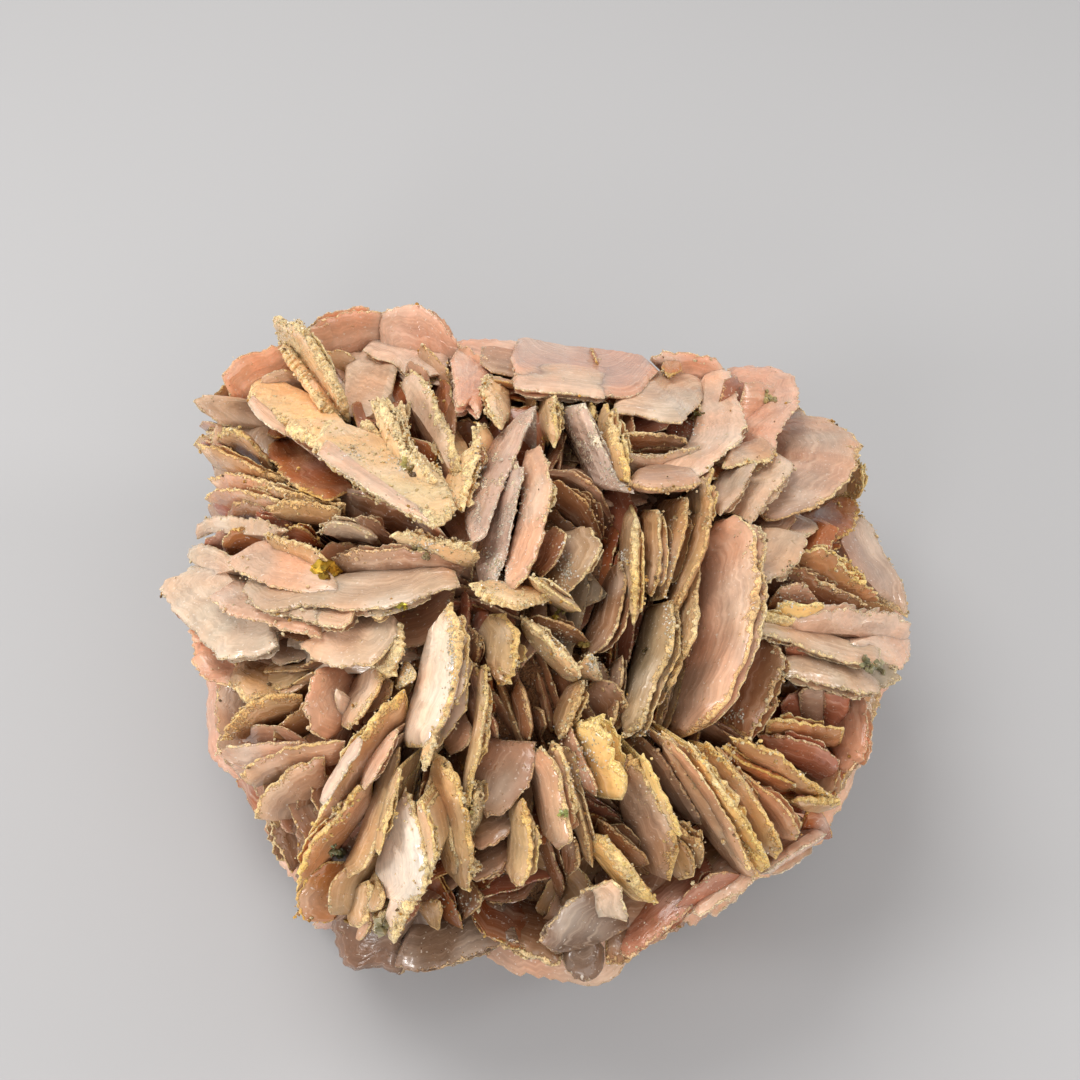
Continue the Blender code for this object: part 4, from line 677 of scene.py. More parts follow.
                p = p * b + front[i, j - 1] * (1 - b)
                if noise(p, 2.6, 89)[0] > rng.uniform(-0.7, 0.5):
                    CAKE.append((p, n, crust_rgb * tint))
    return co


ROUGH = {"crust": 1.1, "ochre": 1.05, "ochreface": 1.1, "glossy": 1.0, "mauverim": 1.0, "amberochre": 1.0}


def sunk(foot, n, down):
    """Where the plate runs on below its foot, out of sight and into the mass."""
    m = foot.mean(axis=0)
    away = (m - EYE) / np.linalg.norm(m - EYE)
    inward = (DOME_C - m) / np.linalg.norm(DOME_C - m)
    flat = 0.12 + 0.73 * min(max((abs(n @ away) - 0.40) / 0.4, 0.0), 1.0)
    d = (1 - flat) * away + flat * down + 0.2 * inward
    root = foot + d / np.linalg.norm(d) * DEEP
    # never out again on the far side: there it turns down into the mass
    turn_in = DOME_C - foot
    turn_in /= np.linalg.norm(turn_in, axis=1)[:, None]
    out = np.clip((7.0 - depth_below(root)) / 3.0, 0.0, 1.0)[:, None]
    return root + (foot + turn_in * DEEP - root) * out


PLAIN = ("tc1", "tc9", "s20b", "s20c", "m15", "c3")


def blade(into, top, foot, root, n, thick, tone, seed, sharp, more=1.0, fine=1.0, bare=1.0, lumpy=0.0):
    """A plate: one main crystal with growth steps and thin twins grown on its faces."""
    rng = random.Random(seed * 977 + 5)
    _, length = smooth_line(top, 30)
    bend = (rng.uniform(-0.6, 0.6) * min(length / 15.0, 1.2), rng.uniform(-0.4, 0.5))
    rough = ROUGH.get(tone, 0.7)

    def leaf(k, shift, splay, t, recess, trim, crust):
        lamella(into, top, foot, root, n, shift, splay, t, recess, trim, tone, seed * 13 + k, rough, bend,
                sharp, crust * bare, fine, lumpy)

    def cut(most):
        return rng.uniform(0, most), rng.uniform(0, most)

    leaf(1, 0.0, 0.0, 0.85 * thick, 0.0, (0.0, 0.0), 1.0)
    if length < 5.0 or more == 0.0:
        return
    if rng.random() < 0.60 * more:
        leaf(3, -0.46 * thick, 0.3, 0.34 * thick, rng.uniform(-0.1, 1.0), cut(0.30), 0.8)
    if rng.random() < 0.25 * more:
        leaf(4, -0.85 * thick, 0.5, 0.30 * thick, rng.uniform(0.8, 2.6), cut(0.35), 0.6)


def region(name):
    for start, where in (("tl", "blades_top_left"), ("tc", "blades_top"), ("ll", "blades_left"),
                         ("l", "blades_left"), ("w", "blades_left"), ("c", "blades_middle"),
                         ("m", "blades_middle"), ("f", "blades_low_left"), ("n", "blades_low_right"),
                         ("r", "blades_right"), ("s", "blades_right"), ("z", "blades_low_left")):
        if name.startswith(start):
            return where
    return "blades_middle"


# how far the nearest surface lies from EYE, cell by cell on the sheet, and how squarely it faces EYE
CELL = 5.0
CELLS = int(1080 / CELL)
MASS = 0.75  # the massive root against the dome
grid_v, grid_u = np.meshgrid((np.arange(CELLS) + 0.5) * CELL, (np.arange(CELLS) + 0.5) * CELL, indexing="ij")
rays = (LOOK + (grid_u[..., None] - 540.0) / 540.0 * TAN * RIGHT + (540.0 - grid_v[..., None]) / 540.0 * TAN * UP)
rays /= np.linalg.norm(rays, axis=2)[..., None]
d, o = rays / (DOME_R * MASS), (EYE - DOME_C) / (DOME_R * MASS)
q = (d @ o) ** 2 - (d * d).sum(axis=2) * (o @ o - 1.0)
near = np.where(q > 0.0, (-(d @ o) - np.sqrt(np.maximum(q, 0.0))) / (d * d).sum(axis=2), 1e9)
facing = np.zeros((CELLS, CELLS))
base = near.copy()


def cell_of(p):
    u, v = sheet(p)
    return (np.clip((v / CELL).astype(int), 0, CELLS - 1), np.clip((u / CELL).astype(int), 0, CELLS - 1))


def shade(top, root, n):
    a, _ = smooth_line(top, 60)
    b, _ = smooth_line(root, 60)
    w = np.linspace(0, 1, 40)[None, :, None]
    p = (a[:, None, :] * (1 - w) + b[:, None, :] * w).reshape(-1, 3)
    i, j = cell_of(p)
    d = np.linalg.norm(p - EYE, axis=1)
    order = np.argsort(-d)
    i, j, d = i[order], j[order], d[order]
    ahead = d < near[i, j]
    near[i[ahead], j[ahead]] = d[ahead]
    facing[i[ahead], j[ahead]] = abs(n @ (EYE - p.mean(axis=0))) / np.linalg.norm(EYE - p.mean(axis=0))


lines = []
for k, (name, crest, foot, depth, height, thick, tone) in enumerate(P):
    top, low, n, down = plate_of(crest, foot, depth, height)
    low = low[::-1]
    pointed = 0.85 if isinstance(foot, tuple) else 0.30 if name[0] in "fncm" and name not in PLAIN else 0.0
    blade(region(name), top, low, sunk(low, n, down), n, thick, tone, k + 1, pointed,
          more=0.0 if name in PLAIN else 1.0, lumpy=0.9 if name[0] == "z" else 0.0)
    shade(top, low, n)
    lines.append((top, n, down, tone, thick, region(name)))

# ---------------------------------------------------------------- small crystals wedged in the gaps
# places where the cluster shows dark holes: fillers there sit deeper, so they lie in real shadow and under the painted
# depth shade, and never take their neighbour's tone
HOLES = [(420, 610, 26), (440, 602, 24), (467, 425, 13), (612, 532, 14), (605, 578, 16), (617, 665, 14),
         (555, 700, 20), (553, 652, 20), (475, 635, 12), (499, 690, 12), (452, 700, 10), (785, 686, 14),
         (718, 852, 16), (634, 903, 9), (372, 600, 10), (240, 541, 14), (800, 517, 14), (600, 740, 14),
         (640, 760, 12), (700, 735, 10), (545, 880, 20), (640, 905, 14), (592, 905, 10)]


def turned(v, axis, angle):
    return (v * math.cos(angle) + np.cross(axis, v) * math.sin(angle) + axis * (axis @ v) * (1 - math.cos(angle)))


def wedged(count, seed, behind=False, lining=False):
    """Small crystals in the gaps; behind the crests, larger ones close what would be see-through,
    and a lining of them covers the root where it would lie bare."""
    rng = random.Random(seed)
    mids = np.array([line[0].mean(axis=0) for line in lines])
    ends = [np.array([line[0][0], line[0][-1]]) for line in lines]
    made = 0
    cells = [tuple(c) for c in np.argwhere(within)]
    for _ in range(count * 14):
        if made >= count:
            break
        open_cells = cells
        if behind:
            open_cells = [c for c in cells if near[c] > 1e8]
        elif lining:
            open_cells = [c for c in cells if near[c] == base[c]]
        if not open_cells:
            break
        i, j = open_cells[rng.randrange(len(open_cells))]
        u, v = (j + rng.random()) * CELL, (i + rng.random()) * CELL
        d = ray(u, v)
        skin = dome_distance(u, v)
        if near[i, j] < skin + 3.2:
            continue
        hole = any((u - a) ** 2 + (v - b) ** 2 < c * c for a, b, c in HOLES)
        sink = rng.uniform(7.0, 10.0) if hole else rng.uniform(3.0, 6.5)
        if behind:
            sink = rng.uniform(2.0, 7.0)
        elif lining:
            sink = rng.uniform(0.5, 0.9) * (near[i, j] - skin)
        elif near[i, j] < skin + sink + 0.8:
            continue
        at = EYE + d * (skin + sink)
        best = min(range(len(lines)), key=lambda k: min(np.linalg.norm(mids[k] - at),
                                                         *np.linalg.norm(ends[k] - at, axis=1)) + rng.uniform(0, 3))
        top, n, down, tone, thick, into = lines[best]
        along = top[-1] - top[0]
        along /= np.linalg.norm(along)
        a, b = rng.gauss(0, 0.18), rng.gauss(0, 0.16)
        n2, along2 = turned(n, down, a), turned(along, down, a)
        n2 = turned(n2, along2, b)
        down2 = turned(down, along2, b)
        length = rng.uniform(7.0, 13.0) if behind else rng.uniform(8.0, 17.0)
        face = rng.uniform(4.0, 8.0) if behind else rng.uniform(4.5, 8.0)
        rise = rng.uniform(0.2, 1.0)
        line = []
        for x, y in ((-0.5, 0.9), (-0.22, 0.1), (0.15, 0.0), (0.5, 0.8)):
            line.append(at + along2 * (x * length) + down2 * (y * rise - (0.3 * face if behind else -0.2)))
        line = np.array(line)
        if behind:
            for _ in range(12):
                if all(inside_outline(q) for q in line):
                    break
                line = line + (at - line) * 0.12 + (DOME_C - line) * 0.02
        ci, cj = cell_of(line)
        ahead = near[ci, cj] - np.linalg.norm(line - EYE, axis=1)
        if not behind and ((ahead > (3.0 if lining else 0.8)) & (facing[ci, cj] > 0.5)).any():
            continue
        if not behind and (depth_below(line) < 0.2).any() or not all(inside_outline(q) for q in line):
            continue
        low = line + down2 * face
        own = rng.choice(("tan", "tanpink", "brown", "rose", "amber", "mauve"))
        if rng.random() < 0.3 and not hole:
            own = tone
        blade("crystals_small_%d" % (made % 2 + 1), line, low, sunk(low, n2, down2), n2, rng.uniform(0.8, 1.4), own,
              4000 + made + 7 * seed, rng.uniform(0.2, 0.8), 0.35, 0.7, 0.4)
        shade(line, low, n2)
        made += 1
    return made

# ---------------------------------------------------------------- far side and underside
# outline of the whole cluster on the sheet: nothing of the far side stands out past it
OUTLINE = [(420,304),(456,340),(520,342),(588,348),(640,358),(700,357),(728,370),(776,371),(800,388),
           (806,414),(838,430),(861,449),(864,494),(857,513),(880,548),(903,590),(908,640),(905,668),
           (884,690),(872,720),(872,755),(845,774),(838,800),(830,838),(790,865),(745,884),(697,917),
           (640,950),(592,976),(560,966),(500,952),(410,976),(345,963),(335,925),(303,915),(283,862),
           (257,818),(268,792),(243,779),(214,753),(246,702),(206,672),(164,602),(180,578),(190,560),
           (200,520),(206,498),(212,480),(200,447),(196,402),(228,376),(246,350),(278,343),(274,316),
           (303,323),(340,317)]


def inside_outline(p):
    u, v = sheet(p)
    hit = False
    for (a, b), (c, d) in zip(OUTLINE, OUTLINE[1:] + OUTLINE[:1]):
        if (b > v) != (d > v) and u < (c - a) * (v - b) / (d - b) + a:
            hit = not hit
    return hit


def far_side():
    """Fans of near-parallel plates, each plate a crest, a root, its normal and its thickness."""
    rng = random.Random(41)
    view = (EYE - MIDDLE) / np.linalg.norm(EYE - MIDDLE)
    spots, plates = 84, []
    for i in range(spots):
        z = 1.0 - 2.0 * (i + 0.5) / spots
        turn = 2.39996 * i
        s = math.sqrt(1.0 - z * z)
        at = np.array([s * math.cos(turn), s * math.sin(turn), z])
        out = at / DOME_R
        out /= np.linalg.norm(out)
        spot = DOME_C + DOME_R * at * 0.97
        heading = rng.uniform(0.0, math.pi)
        lean = rng.uniform(-0.35, 0.35)
        count = 3
        pitch = rng.uniform(*FAN_PITCH)
        half = rng.uniform(*FAN_HALF)
        if out @ view > 0.10 or spot[2] < 1.0:
            continue
        east = np.cross([0.0, 0.0, 1.0], out)
        east /= np.linalg.norm(east)
        north = np.cross(out, east)
        along = math.cos(heading) * east + math.sin(heading) * north
        n = np.cross(along, out) * math.cos(lean) + out * math.sin(lean)
        rise = np.cross(n, along)
        if rise @ out < 0:
            rise = -rise
        for k in range(count):
            off = (k - (count - 1) / 2.0) * pitch
            size = half * rng.uniform(0.72, 1.05) * (1.0 - 0.10 * abs(k - (count - 1) / 2.0))
            top = rng.uniform(0.8, 3.6)
            twist = rng.uniform(-0.10, 0.10)
            c = spot + n * off + along * rng.uniform(-2.5, 2.5)
            a = along + n * twist
            shape = [(-1.0, -2.6), (-0.55, top - 0.8), (0.35, top), (1.0, -2.2)]
            shape = [(x + rng.uniform(-0.12, 0.12), y + rng.uniform(-0.5, 0.5)) for x, y in shape]
            crest = []
            for x, y in shape:
                p = c + a * (x * size) + rise * y
                for _ in range(24):
                    if inside_outline(p):
                        break
                    p = p + (DOME_C - p) * 0.035
                crest.append(p)
            m = np.cross(a, rise)
            m /= np.linalg.norm(m)
            crest = np.array(crest)
            crest -= ((crest - c) @ m)[:, None] * m
            deep = np.array([crest[-1] - rise * 6.0 - a * size * 0.2, crest[0] - rise * 6.0 + a * size * 0.2])
            plates.append((crest, deep, m, rng.uniform(1.2, 1.8)))
    return plates

within = np.zeros((CELLS, CELLS), bool)
for (a, b), (c, d) in zip(OUTLINE, OUTLINE[1:] + OUTLINE[:1]):
    if b != d:
        within ^= ((b > grid_v) != (d > grid_v)) & (grid_u < (c - a) * (grid_v - b) / (d - b) + a)

wedged(70, 3, True)
wedged(130, 5)
wedged(60, 9, lining=True)
for k, (crest, deep, n, thick) in enumerate(far_side()):
    tone = ("peach", "tanpink", "creampink", "mauve", "pink", "amber", "tan", "rose")[(k // 3 * 5 + k % 2) % 8]
    view = (EYE - crest.mean(axis=0)) @ n
    ends = deep[::-1]
    low, _ = smooth_line(ends, len(crest))
    low = crest + 0.6 * (low - crest)
    blade("blades_far", crest, low, ends, n if view > 0 else -n, thick, tone, 900 + k, 0.15, 0.4, 0.7, 0.5)


# ---------------------------------------------------------------- massive root
def root_mesh():
    import bmesh
    bm = bmesh.new()
    bmesh.ops.create_icosphere(bm, subdivisions=5, radius=1.0)
    p = np.array([v.co for v in bm.verts])
    faces = np.array([[v.index for v in f.verts] for f in bm.faces])
    bm.free()
    p = p * DOME_R * MASS + DOME_C
    out = (p - DOME_C) / np.linalg.norm(p - DOME_C, axis=1)[:, None]
    p = p + out * (1.5 * noise(p, 9.0, 3) + 1.1 * noise(p, 3.6, 5) + 0.7 * noise(p, 1.7, 8))[:, None]
    p[:, 2] = np.maximum(p[:, 2], 0.0)
    return p, faces


def put(name, co, faces, attributes, material, smooth=True):
    mesh = bpy.data.meshes.new(name)
    sides = faces.shape[1]
    mesh.vertices.add(len(co))
    mesh.vertices.foreach_set("co", (co * 0.001).astype(np.float32).ravel())
    mesh.loops.add(faces.size)
    mesh.loops.foreach_set("vertex_index", faces.astype(np.int32).ravel())
    mesh.polygons.add(len(faces))
    mesh.polygons.foreach_set("loop_start", np.arange(0, faces.size, sides, dtype=np.int32))
    mesh.update(calc_edges=True)
    mesh.polygons.foreach_set("use_smooth", np.full(len(faces), smooth))
    for key, values in attributes.items():
        if key == "lay":
            a = mesh.attributes.new(key, "FLOAT_VECTOR", "POINT")
            a.data.foreach_set("vector", values.astype(np.float32).ravel())
        elif values.ndim == 2:
            a = mesh.attributes.new(key, "FLOAT_COLOR", "POINT")
            a.data.foreach_set("color", np.hstack([values, np.ones((len(values), 1))]).astype(np.float32).ravel())
        else:
            a = mesh.attributes.new(key, "FLOAT", "POINT")
            a.data.foreach_set("value", values.astype(np.float32))
    mesh.materials.append(material)
    mesh.set_sharp_from_angle(angle=math.radians(38.0))
    ob = bpy.data.objects.new(name, mesh)
    bpy.context.scene.collection.objects.link(ob)
    return ob


# ---------------------------------------------------------------- materials
def node(tree, kind, x, y, **values):
    nd = tree.nodes.new(kind)
    nd.location = (x, y)
    for key, value in values.items():
        setattr(nd, key, value)
    return nd


def mapped(t, x, y, source, low, high, to_low, to_high, **more):
    nd = node(t, "ShaderNodeMapRange", x, y, **more)
    nd.inputs["From Min"].default_value = low
    nd.inputs["From Max"].default_value = high
    nd.inputs["To Min"].default_value = to_low
    nd.inputs["To Max"].default_value = to_high
    t.links.new(source, nd.inputs["Value"])
    return nd.outputs[0]


def maths(t, x, y, operation, *values):
    nd = node(t, "ShaderNodeMath", x, y, operation=operation)
    for k, value in enumerate(values):
        if isinstance(value, (int, float)):
            nd.inputs[k].default_value = value
        else:
            t.links.new(value, nd.inputs[k])
    return nd.outputs[0]


def grainy(t, x, y, vector, scale, detail, rough):
    nd = node(t, "ShaderNodeTexNoise", x, y)
    nd.inputs["Scale"].default_value = scale
    nd.inputs["Detail"].default_value = detail
    nd.inputs["Roughness"].default_value = rough
    t.links.new(vector, nd.inputs["Vector"])
    return nd.outputs["Fac"]


def scaled(t, x, y, vector, factor):
    nd = node(t, "ShaderNodeVectorMath", x, y, operation="SCALE")
    t.links.new(vector, nd.inputs[0])
    t.links.new(factor, nd.inputs["Scale"])
    return nd.outputs[0]


def blade_material():
    mat = bpy.data.materials.new("gypsum")
    mat.use_nodes = True
    t = mat.node_tree
    t.nodes.clear()
    link = t.links.new
    out = node(t, "ShaderNodeOutputMaterial", 1400, 0)
    sh = node(t, "ShaderNodeBsdfPrincipled", 1100, 0)
    link(sh.outputs[0], out.inputs[0])
    tint = node(t, "ShaderNodeAttribute", -1300, 300, attribute_name="tint").outputs["Color"]
    crust_c = node(t, "ShaderNodeAttribute", -1300, 100, attribute_name="crust_tint").outputs["Color"]
    crust_a = node(t, "ShaderNodeAttribute", -1300, -100, attribute_name="crust").outputs["Fac"]
    lay = node(t, "ShaderNodeAttribute", -1300, -300, attribute_name="lay").outputs["Vector"]
    gloss = node(t, "ShaderNodeAttribute", -1300, -500, attribute_name="gloss").outputs["Fac"]
    place = node(t, "ShaderNodeTexCoord", -1500, 700).outputs["Object"]
    cloud = grainy(t, -1000, 600, place, 300.0, 3.0, 0.60)
    mid = grainy(t, -1000, 750, place, 1100.0, 2.0, 0.60)
    fine = grainy(t, -1000, 900, place, 3200.0, 1.0, 0.75)
    # noise that places the painted glints
    painted_glint_noise = grainy(t, -1000, 1050, place, 2600.0, 1.0, 0.50)
    # streaks drawn out along the rim: broad bands, and the edges of thin layers
    stretch = node(t, "ShaderNodeMapping", -1150, -300)
    stretch.inputs["Scale"].default_value = (0.07, 1.25, 1.0)
    link(lay, stretch.inputs["Vector"])
    streak = grainy(t, -950, -300, stretch.outputs[0], 1.0, 2.0, 0.60)
    squeeze = node(t, "ShaderNodeMapping", -1150, -600)
    squeeze.inputs["Scale"].default_value = (0.16, 3.6, 1.0)
    link(lay, squeeze.inputs["Vector"])
    layer = grainy(t, -950, -600, squeeze.outputs[0], 1.0, 2.0, 0.60)
    # crystal: milky clouds, faint streaks and a fine grain
    face = scaled(t, -600, 450, tint, mapped(t, -800, 600, cloud, 0.30, 0.70, 0.88, 1.12))
    face = scaled(t, -450, 400, face, mapped(t, -700, -300, streak, 0.30, 0.70, 0.88, 1.12))
    face = scaled(t, -380, 380, face, mapped(t, -700, -600, layer, 0.34, 0.66, 0.95, 1.05))
    face = scaled(t, -300, 350, face, mapped(t, -700, 750, mid, 0.35, 0.68, 0.95, 1.05))
    drawn = node(t, "ShaderNodeMix", -200, 500, data_type="RGBA")
    link(mapped(t, -350, 600, streak, 0.54, 0.76, 0.0, 0.36), drawn.inputs["Factor"])
    link(face, drawn.inputs[6])
    drawn.inputs[7].default_value = (0.72, 0.56, 0.42, 1.0)
    face = drawn.outputs[2]
    # crust: grains of ochre, cream and brown
    crust = scaled(t, -450, 100, crust_c, mapped(t, -700, 900, fine, 0.30, 0.68, 0.70, 1.22))
    crust = scaled(t, -300, 100, crust, mapped(t, -700, 1050, mid, 0.35, 0.65, 0.78, 1.16))
    amount = maths(t, -400, -100, "ADD", crust_a, maths(t, -600, -100, "MULTIPLY_ADD", fine, 1.1, -0.55))
    amount = maths(t, -300, -100, "ADD", amount, maths(t, -500, -150, "MULTIPLY_ADD", mid, 1.2, -0.6))
    mask = mapped(t, -150, -100, amount, 0.30, 0.56, 0.0, 1.0, interpolation_type="SMOOTHSTEP")
    mix = node(t, "ShaderNodeMix", 200, 300, data_type="RGBA")
    link(mask, mix.inputs["Factor"])
    link(face, mix.inputs[6])
    link(crust, mix.inputs[7])
    # painted glints: tiny white specks mixed into the base colour stand in for sparkling highlights, and are less rough
    painted_glint = mapped(t, 200, 600, painted_glint_noise, 0.68, 0.74, 0.0, 0.55)
    white = node(t, "ShaderNodeMix", 400, 300, data_type="RGBA")
    link(painted_glint, white.inputs["Factor"])
    link(mix.outputs[2], white.inputs[6])
    white.inputs[7].default_value = (0.80, 0.72, 0.62, 1.0)
    link(white.outputs[2], sh.inputs["Base Color"])
    # gloss of bare faces, dull crust
    bare = maths(t, 0, -500, "MULTIPLY_ADD", gloss, -0.12, 0.17)
    bare = maths(t, 150, -500, "MULTIPLY_ADD", cloud, 0.24, bare)
    rough = node(t, "ShaderNodeMix", 480, -400, data_type="FLOAT")
    link(mask, rough.inputs["Factor"])
    link(bare, rough.inputs[2])
    rough.inputs[3].default_value = 0.80
    link(maths(t, 600, -400, "MULTIPLY_ADD", painted_glint, -0.5, rough.outputs[0]), sh.inputs["Roughness"])
    # relief
    height = maths(t, 100, -700, "MULTIPLY", streak, 0.34)
    height = maths(t, 200, -700, "MULTIPLY_ADD", mid, mapped(t, 100, -1000, mask, 0.0, 1.0, 0.10, 1.5), height)
    grains = maths(t, 280, -800, "MULTIPLY", fine, mapped(t, 100, -900, mask, 0.0, 1.0, 0.04, 2.0))
    height = maths(t, 480, -700, "ADD", height, grains)
    bump = node(t, "ShaderNodeBump", 700, -600)
    bump.inputs["Strength"].default_value = 0.8
    bump.inputs["Distance"].default_value = 0.0004
    link(height, bump.inputs["Height"])
    link(bump.outputs[0], sh.inputs["Normal"])
    sh.inputs["IOR"].default_value = 1.53
    sh.inputs["Subsurface Weight"].default_value = 0.45
    sh.inputs["Subsurface Radius"].default_value = (1.0, 0.84, 0.72)
    sh.inputs["Subsurface Scale"].default_value = 0.0011
    return mat


# ---------------------------------------------------------------- grains on the rims
def solid_grain():
    g = (1 + math.sqrt(5)) / 2
    p = []
    for a in (-1, 1):
        for b in (-g, g):
            p += [(0, a, b), (a, b, 0), (b, 0, a)]
    p = np.array(p, float)
    p /= np.linalg.norm(p[0])
    f = []
    for i in range(12):
        for j in range(i + 1, 12):
            for k in range(j + 1, 12):
                if all(np.linalg.norm(p[x] - p[y]) < 1.1 for x, y in ((i, j), (j, k), (i, k))):
                    outward = np.cross(p[j] - p[i], p[k] - p[i]) @ p[i] > 0
                    f.append((i, j, k) if outward else (i, k, j))
    return p, np.array(f)


def grains(name, spots, material, ball, f, seed):
    """Small angular grains, one closed body each, half sunk in what carries them."""
    r = np.random.default_rng(seed)
    k, m = len(spots), len(ball)
    at = np.array([q[0] for q in spots])
    size, flat, rough, shine = (np.array([q[i] for q in spots]) for i in (1, 2, 4, 5))
    colour = np.array([q[3] for q in spots])
    a = r.normal(size=(k, 3))
    a /= np.linalg.norm(a, axis=1)[:, None]
    b = np.cross(a, r.normal(size=(k, 3)))
    b /= np.linalg.norm(b, axis=1)[:, None]
    turn = np.stack([a, b, np.cross(a, b)], axis=1)
    q = ball[None] * r.uniform(0.65, 1.30, (k, m))[:, :, None]
    q[:, :, 0] *= (1.0 - flat)[:, None]
    q = np.einsum("kmi,kij->kmj", q, turn) * size[:, None, None] + at[:, None, :]
    co = q.reshape(-1, 3)
    co[:, 2] = np.maximum(co[:, 2], 0.0)
    faces = (f[None] + m * np.arange(k)[:, None, None]).reshape(-1, 3)
    tint = np.clip((colour[:, None, :] * r.uniform(0.86, 1.12, (k, m))[:, :, None]).reshape(-1, 3), 0, 1)
    return put(name, co, faces, {"tint": tint, "crust_tint": tint, "crust": np.repeat(rough, m),
               "lay": co * 1.0, "gloss": np.repeat(shine, m)}, material, smooth=False)


def rim_grains():
    """Beads strung along the rims, in clumps, and the grains of the caked faces."""
    rng = random.Random(12)
    beads, nodules = [], []
    places = np.array([p for p, _, _, _, _ in RIMS])
    clump = 0.30 + noise(places, 3.2, 91) + 0.5 * noise(places, 1.3, 93)
    for (p, n, up, colour, share), many in zip(RIMS, clump):
        many = int((3.0 + 9.0 * share) * max(0.0, many) + rng.random() * (0.6 + share))
        for _ in range(many):
            kind = rng.random()
            q = p + up * rng.uniform(-0.45, 0.16) + n * rng.uniform(-0.12, 0.06)
            q = q + np.array([rng.uniform(-0.30, 0.30) for _ in range(3)])
            size = rng.uniform(0.09, 0.17) if rng.random() < 0.75 else rng.uniform(0.17, 0.28)
            if kind < 0.55:
                spot = (q, size, 0.2, colour * rng.uniform(0.82, 1.10), 0.9, 0.2)
            elif kind < 0.80:
                spot = (q, size, 0.2, rgb(CREAM) * rng.uniform(0.80, 1.0), 0.9, 0.2)
            elif kind < 0.90:
                spot = (q, size, 0.2, rgb("b8843a") * rng.uniform(0.7, 1.1), 0.9, 0.2)
            elif kind < 0.93:
                spot = (q, size * 0.7, 0.3, rgb("f0dcc0"), 0.0, 1.4)
            else:
                spot = (q, size * 0.9, 0.2, rgb("6a5030"), 0.5, 0.5)
            (nodules if size > 0.2 else beads).append(spot)
    for p, n, colour in CAKE:
        size = rng.uniform(0.10, 0.22) if rng.random() < 0.8 else rng.uniform(0.22, 0.40)
        tone = colour + rng.uniform(0.0, 0.7) * (rgb(rng.choice((CREAM, CREAM, "c8a468", "b09462"))) - colour)
        spot = (p + n * rng.uniform(-0.12, -0.02), size, 0.45, tone * rng.uniform(0.88, 1.05), 0.9, 0.2)
        (nodules if size > 0.2 else beads).append(spot)
    return beads, nodules


gypsum = blade_material()

co, faces = root_mesh()
# painted shade: the root's dark brown is darkened further with depth below the dome, standing for the shade of the gaps
# through which it shows
low = np.clip(depth_below(co) / 10.0, 0, 1)
tint = rgb("5c3826") * (1 - low[:, None] * 0.4) * (1 + 0.18 * noise(co, 4.0, 11))[:, None]
root_piece = put("massive_root", co, faces, {
    "tint": tint, "crust_tint": np.tile(rgb("7c5634"), (len(co), 1)) * (1 + 0.2 * noise(co, 1.0, 2))[:, None],
    "crust": np.clip(0.75 + 0.35 * noise(co, 3.0, 19), 0, 1), "lay": co * 1.0, "gloss": np.full(len(co), 0.2)}, gypsum)

pieces = [root_piece]
for g in GROUPS.values():
    co = np.vstack(g.co)
    ob = put(g.name, co, np.vstack(g.quads), {
        "tint": np.clip(np.vstack(g.colour), 0, 1), "crust_tint": np.vstack(g.crust_tint),
        "crust": np.concatenate(g.crust), "lay": np.vstack(g.lay), "gloss": np.concatenate(g.gloss)}, gypsum)
    print(g.name, g.triangles(), "triangles")
    pieces.append(ob)

beads, nodules = rim_grains()
print("grains", len(beads), len(nodules))
random.Random(4).shuffle(beads)
random.Random(5).shuffle(nodules)
eight = np.array([(1, 0, 0), (-1, 0, 0), (0, 1, 0), (0, -1, 0), (0, 0, 1), (0, 0, -1)], float)
sides = np.array([(0, 2, 4), (2, 1, 4), (1, 3, 4), (3, 0, 4), (2, 0, 5), (1, 2, 5), (3, 1, 5), (0, 3, 5)])
pieces.append(grains("grains", beads[:18000], gypsum, eight, sides, 12))
pieces.append(grains("nodules", nodules[:4000], gypsum, *solid_grain(), 14))


# ---------------------------------------------------------------- brassy crystals and green specks
def cover():
    """All blades as one search tree, to find where a line of sight first meets them."""
    points = np.vstack([np.vstack(g.co) for g in GROUPS.values()])
    sides, start = [], 0
    for g in GROUPS.values():
        sides.append(np.vstack(g.quads) + start)
        start += g.count
    return BVHTree.FromPolygons([Vector(p) for p in points.tolist()], np.vstack(sides).tolist())


tree = cover()


def landing(u, v):
    hit, normal, _, _ = tree.ray_cast(Vector(EYE.tolist()), Vector(ray(u, v).tolist()))
    if hit is None:
        return None
    out = np.array(normal)
    return np.array(hit), out if out @ ray(u, v) < 0 else -out


def block(r, size):
    """A small crystal: a box with cut corners, turned at random."""
    x = np.array([[a, b, c] for a in (-1, 1) for b in (-1, 1) for c in (-1, 1)], float)
    x = x * np.array([r.uniform(0.6, 1.0), r.uniform(0.6, 1.0), r.uniform(0.6, 1.0)])
    x[0] *= 0.45
    x[7] *= 0.55
    x[5] *= r.uniform(0.6, 1.0)
    q = np.array([r.gauss(0, 1) for _ in range(4)])
    q /= np.linalg.norm(q)
    w, i, j, k = q
    m = np.array([[1 - 2 * (j * j + k * k), 2 * (i * j - k * w), 2 * (i * k + j * w)],
                  [2 * (i * j + k * w), 1 - 2 * (i * i + k * k), 2 * (j * k - i * w)],
                  [2 * (i * k - j * w), 2 * (j * k + i * w), 1 - 2 * (i * i + j * j)]])
    return (x @ m.T) * size


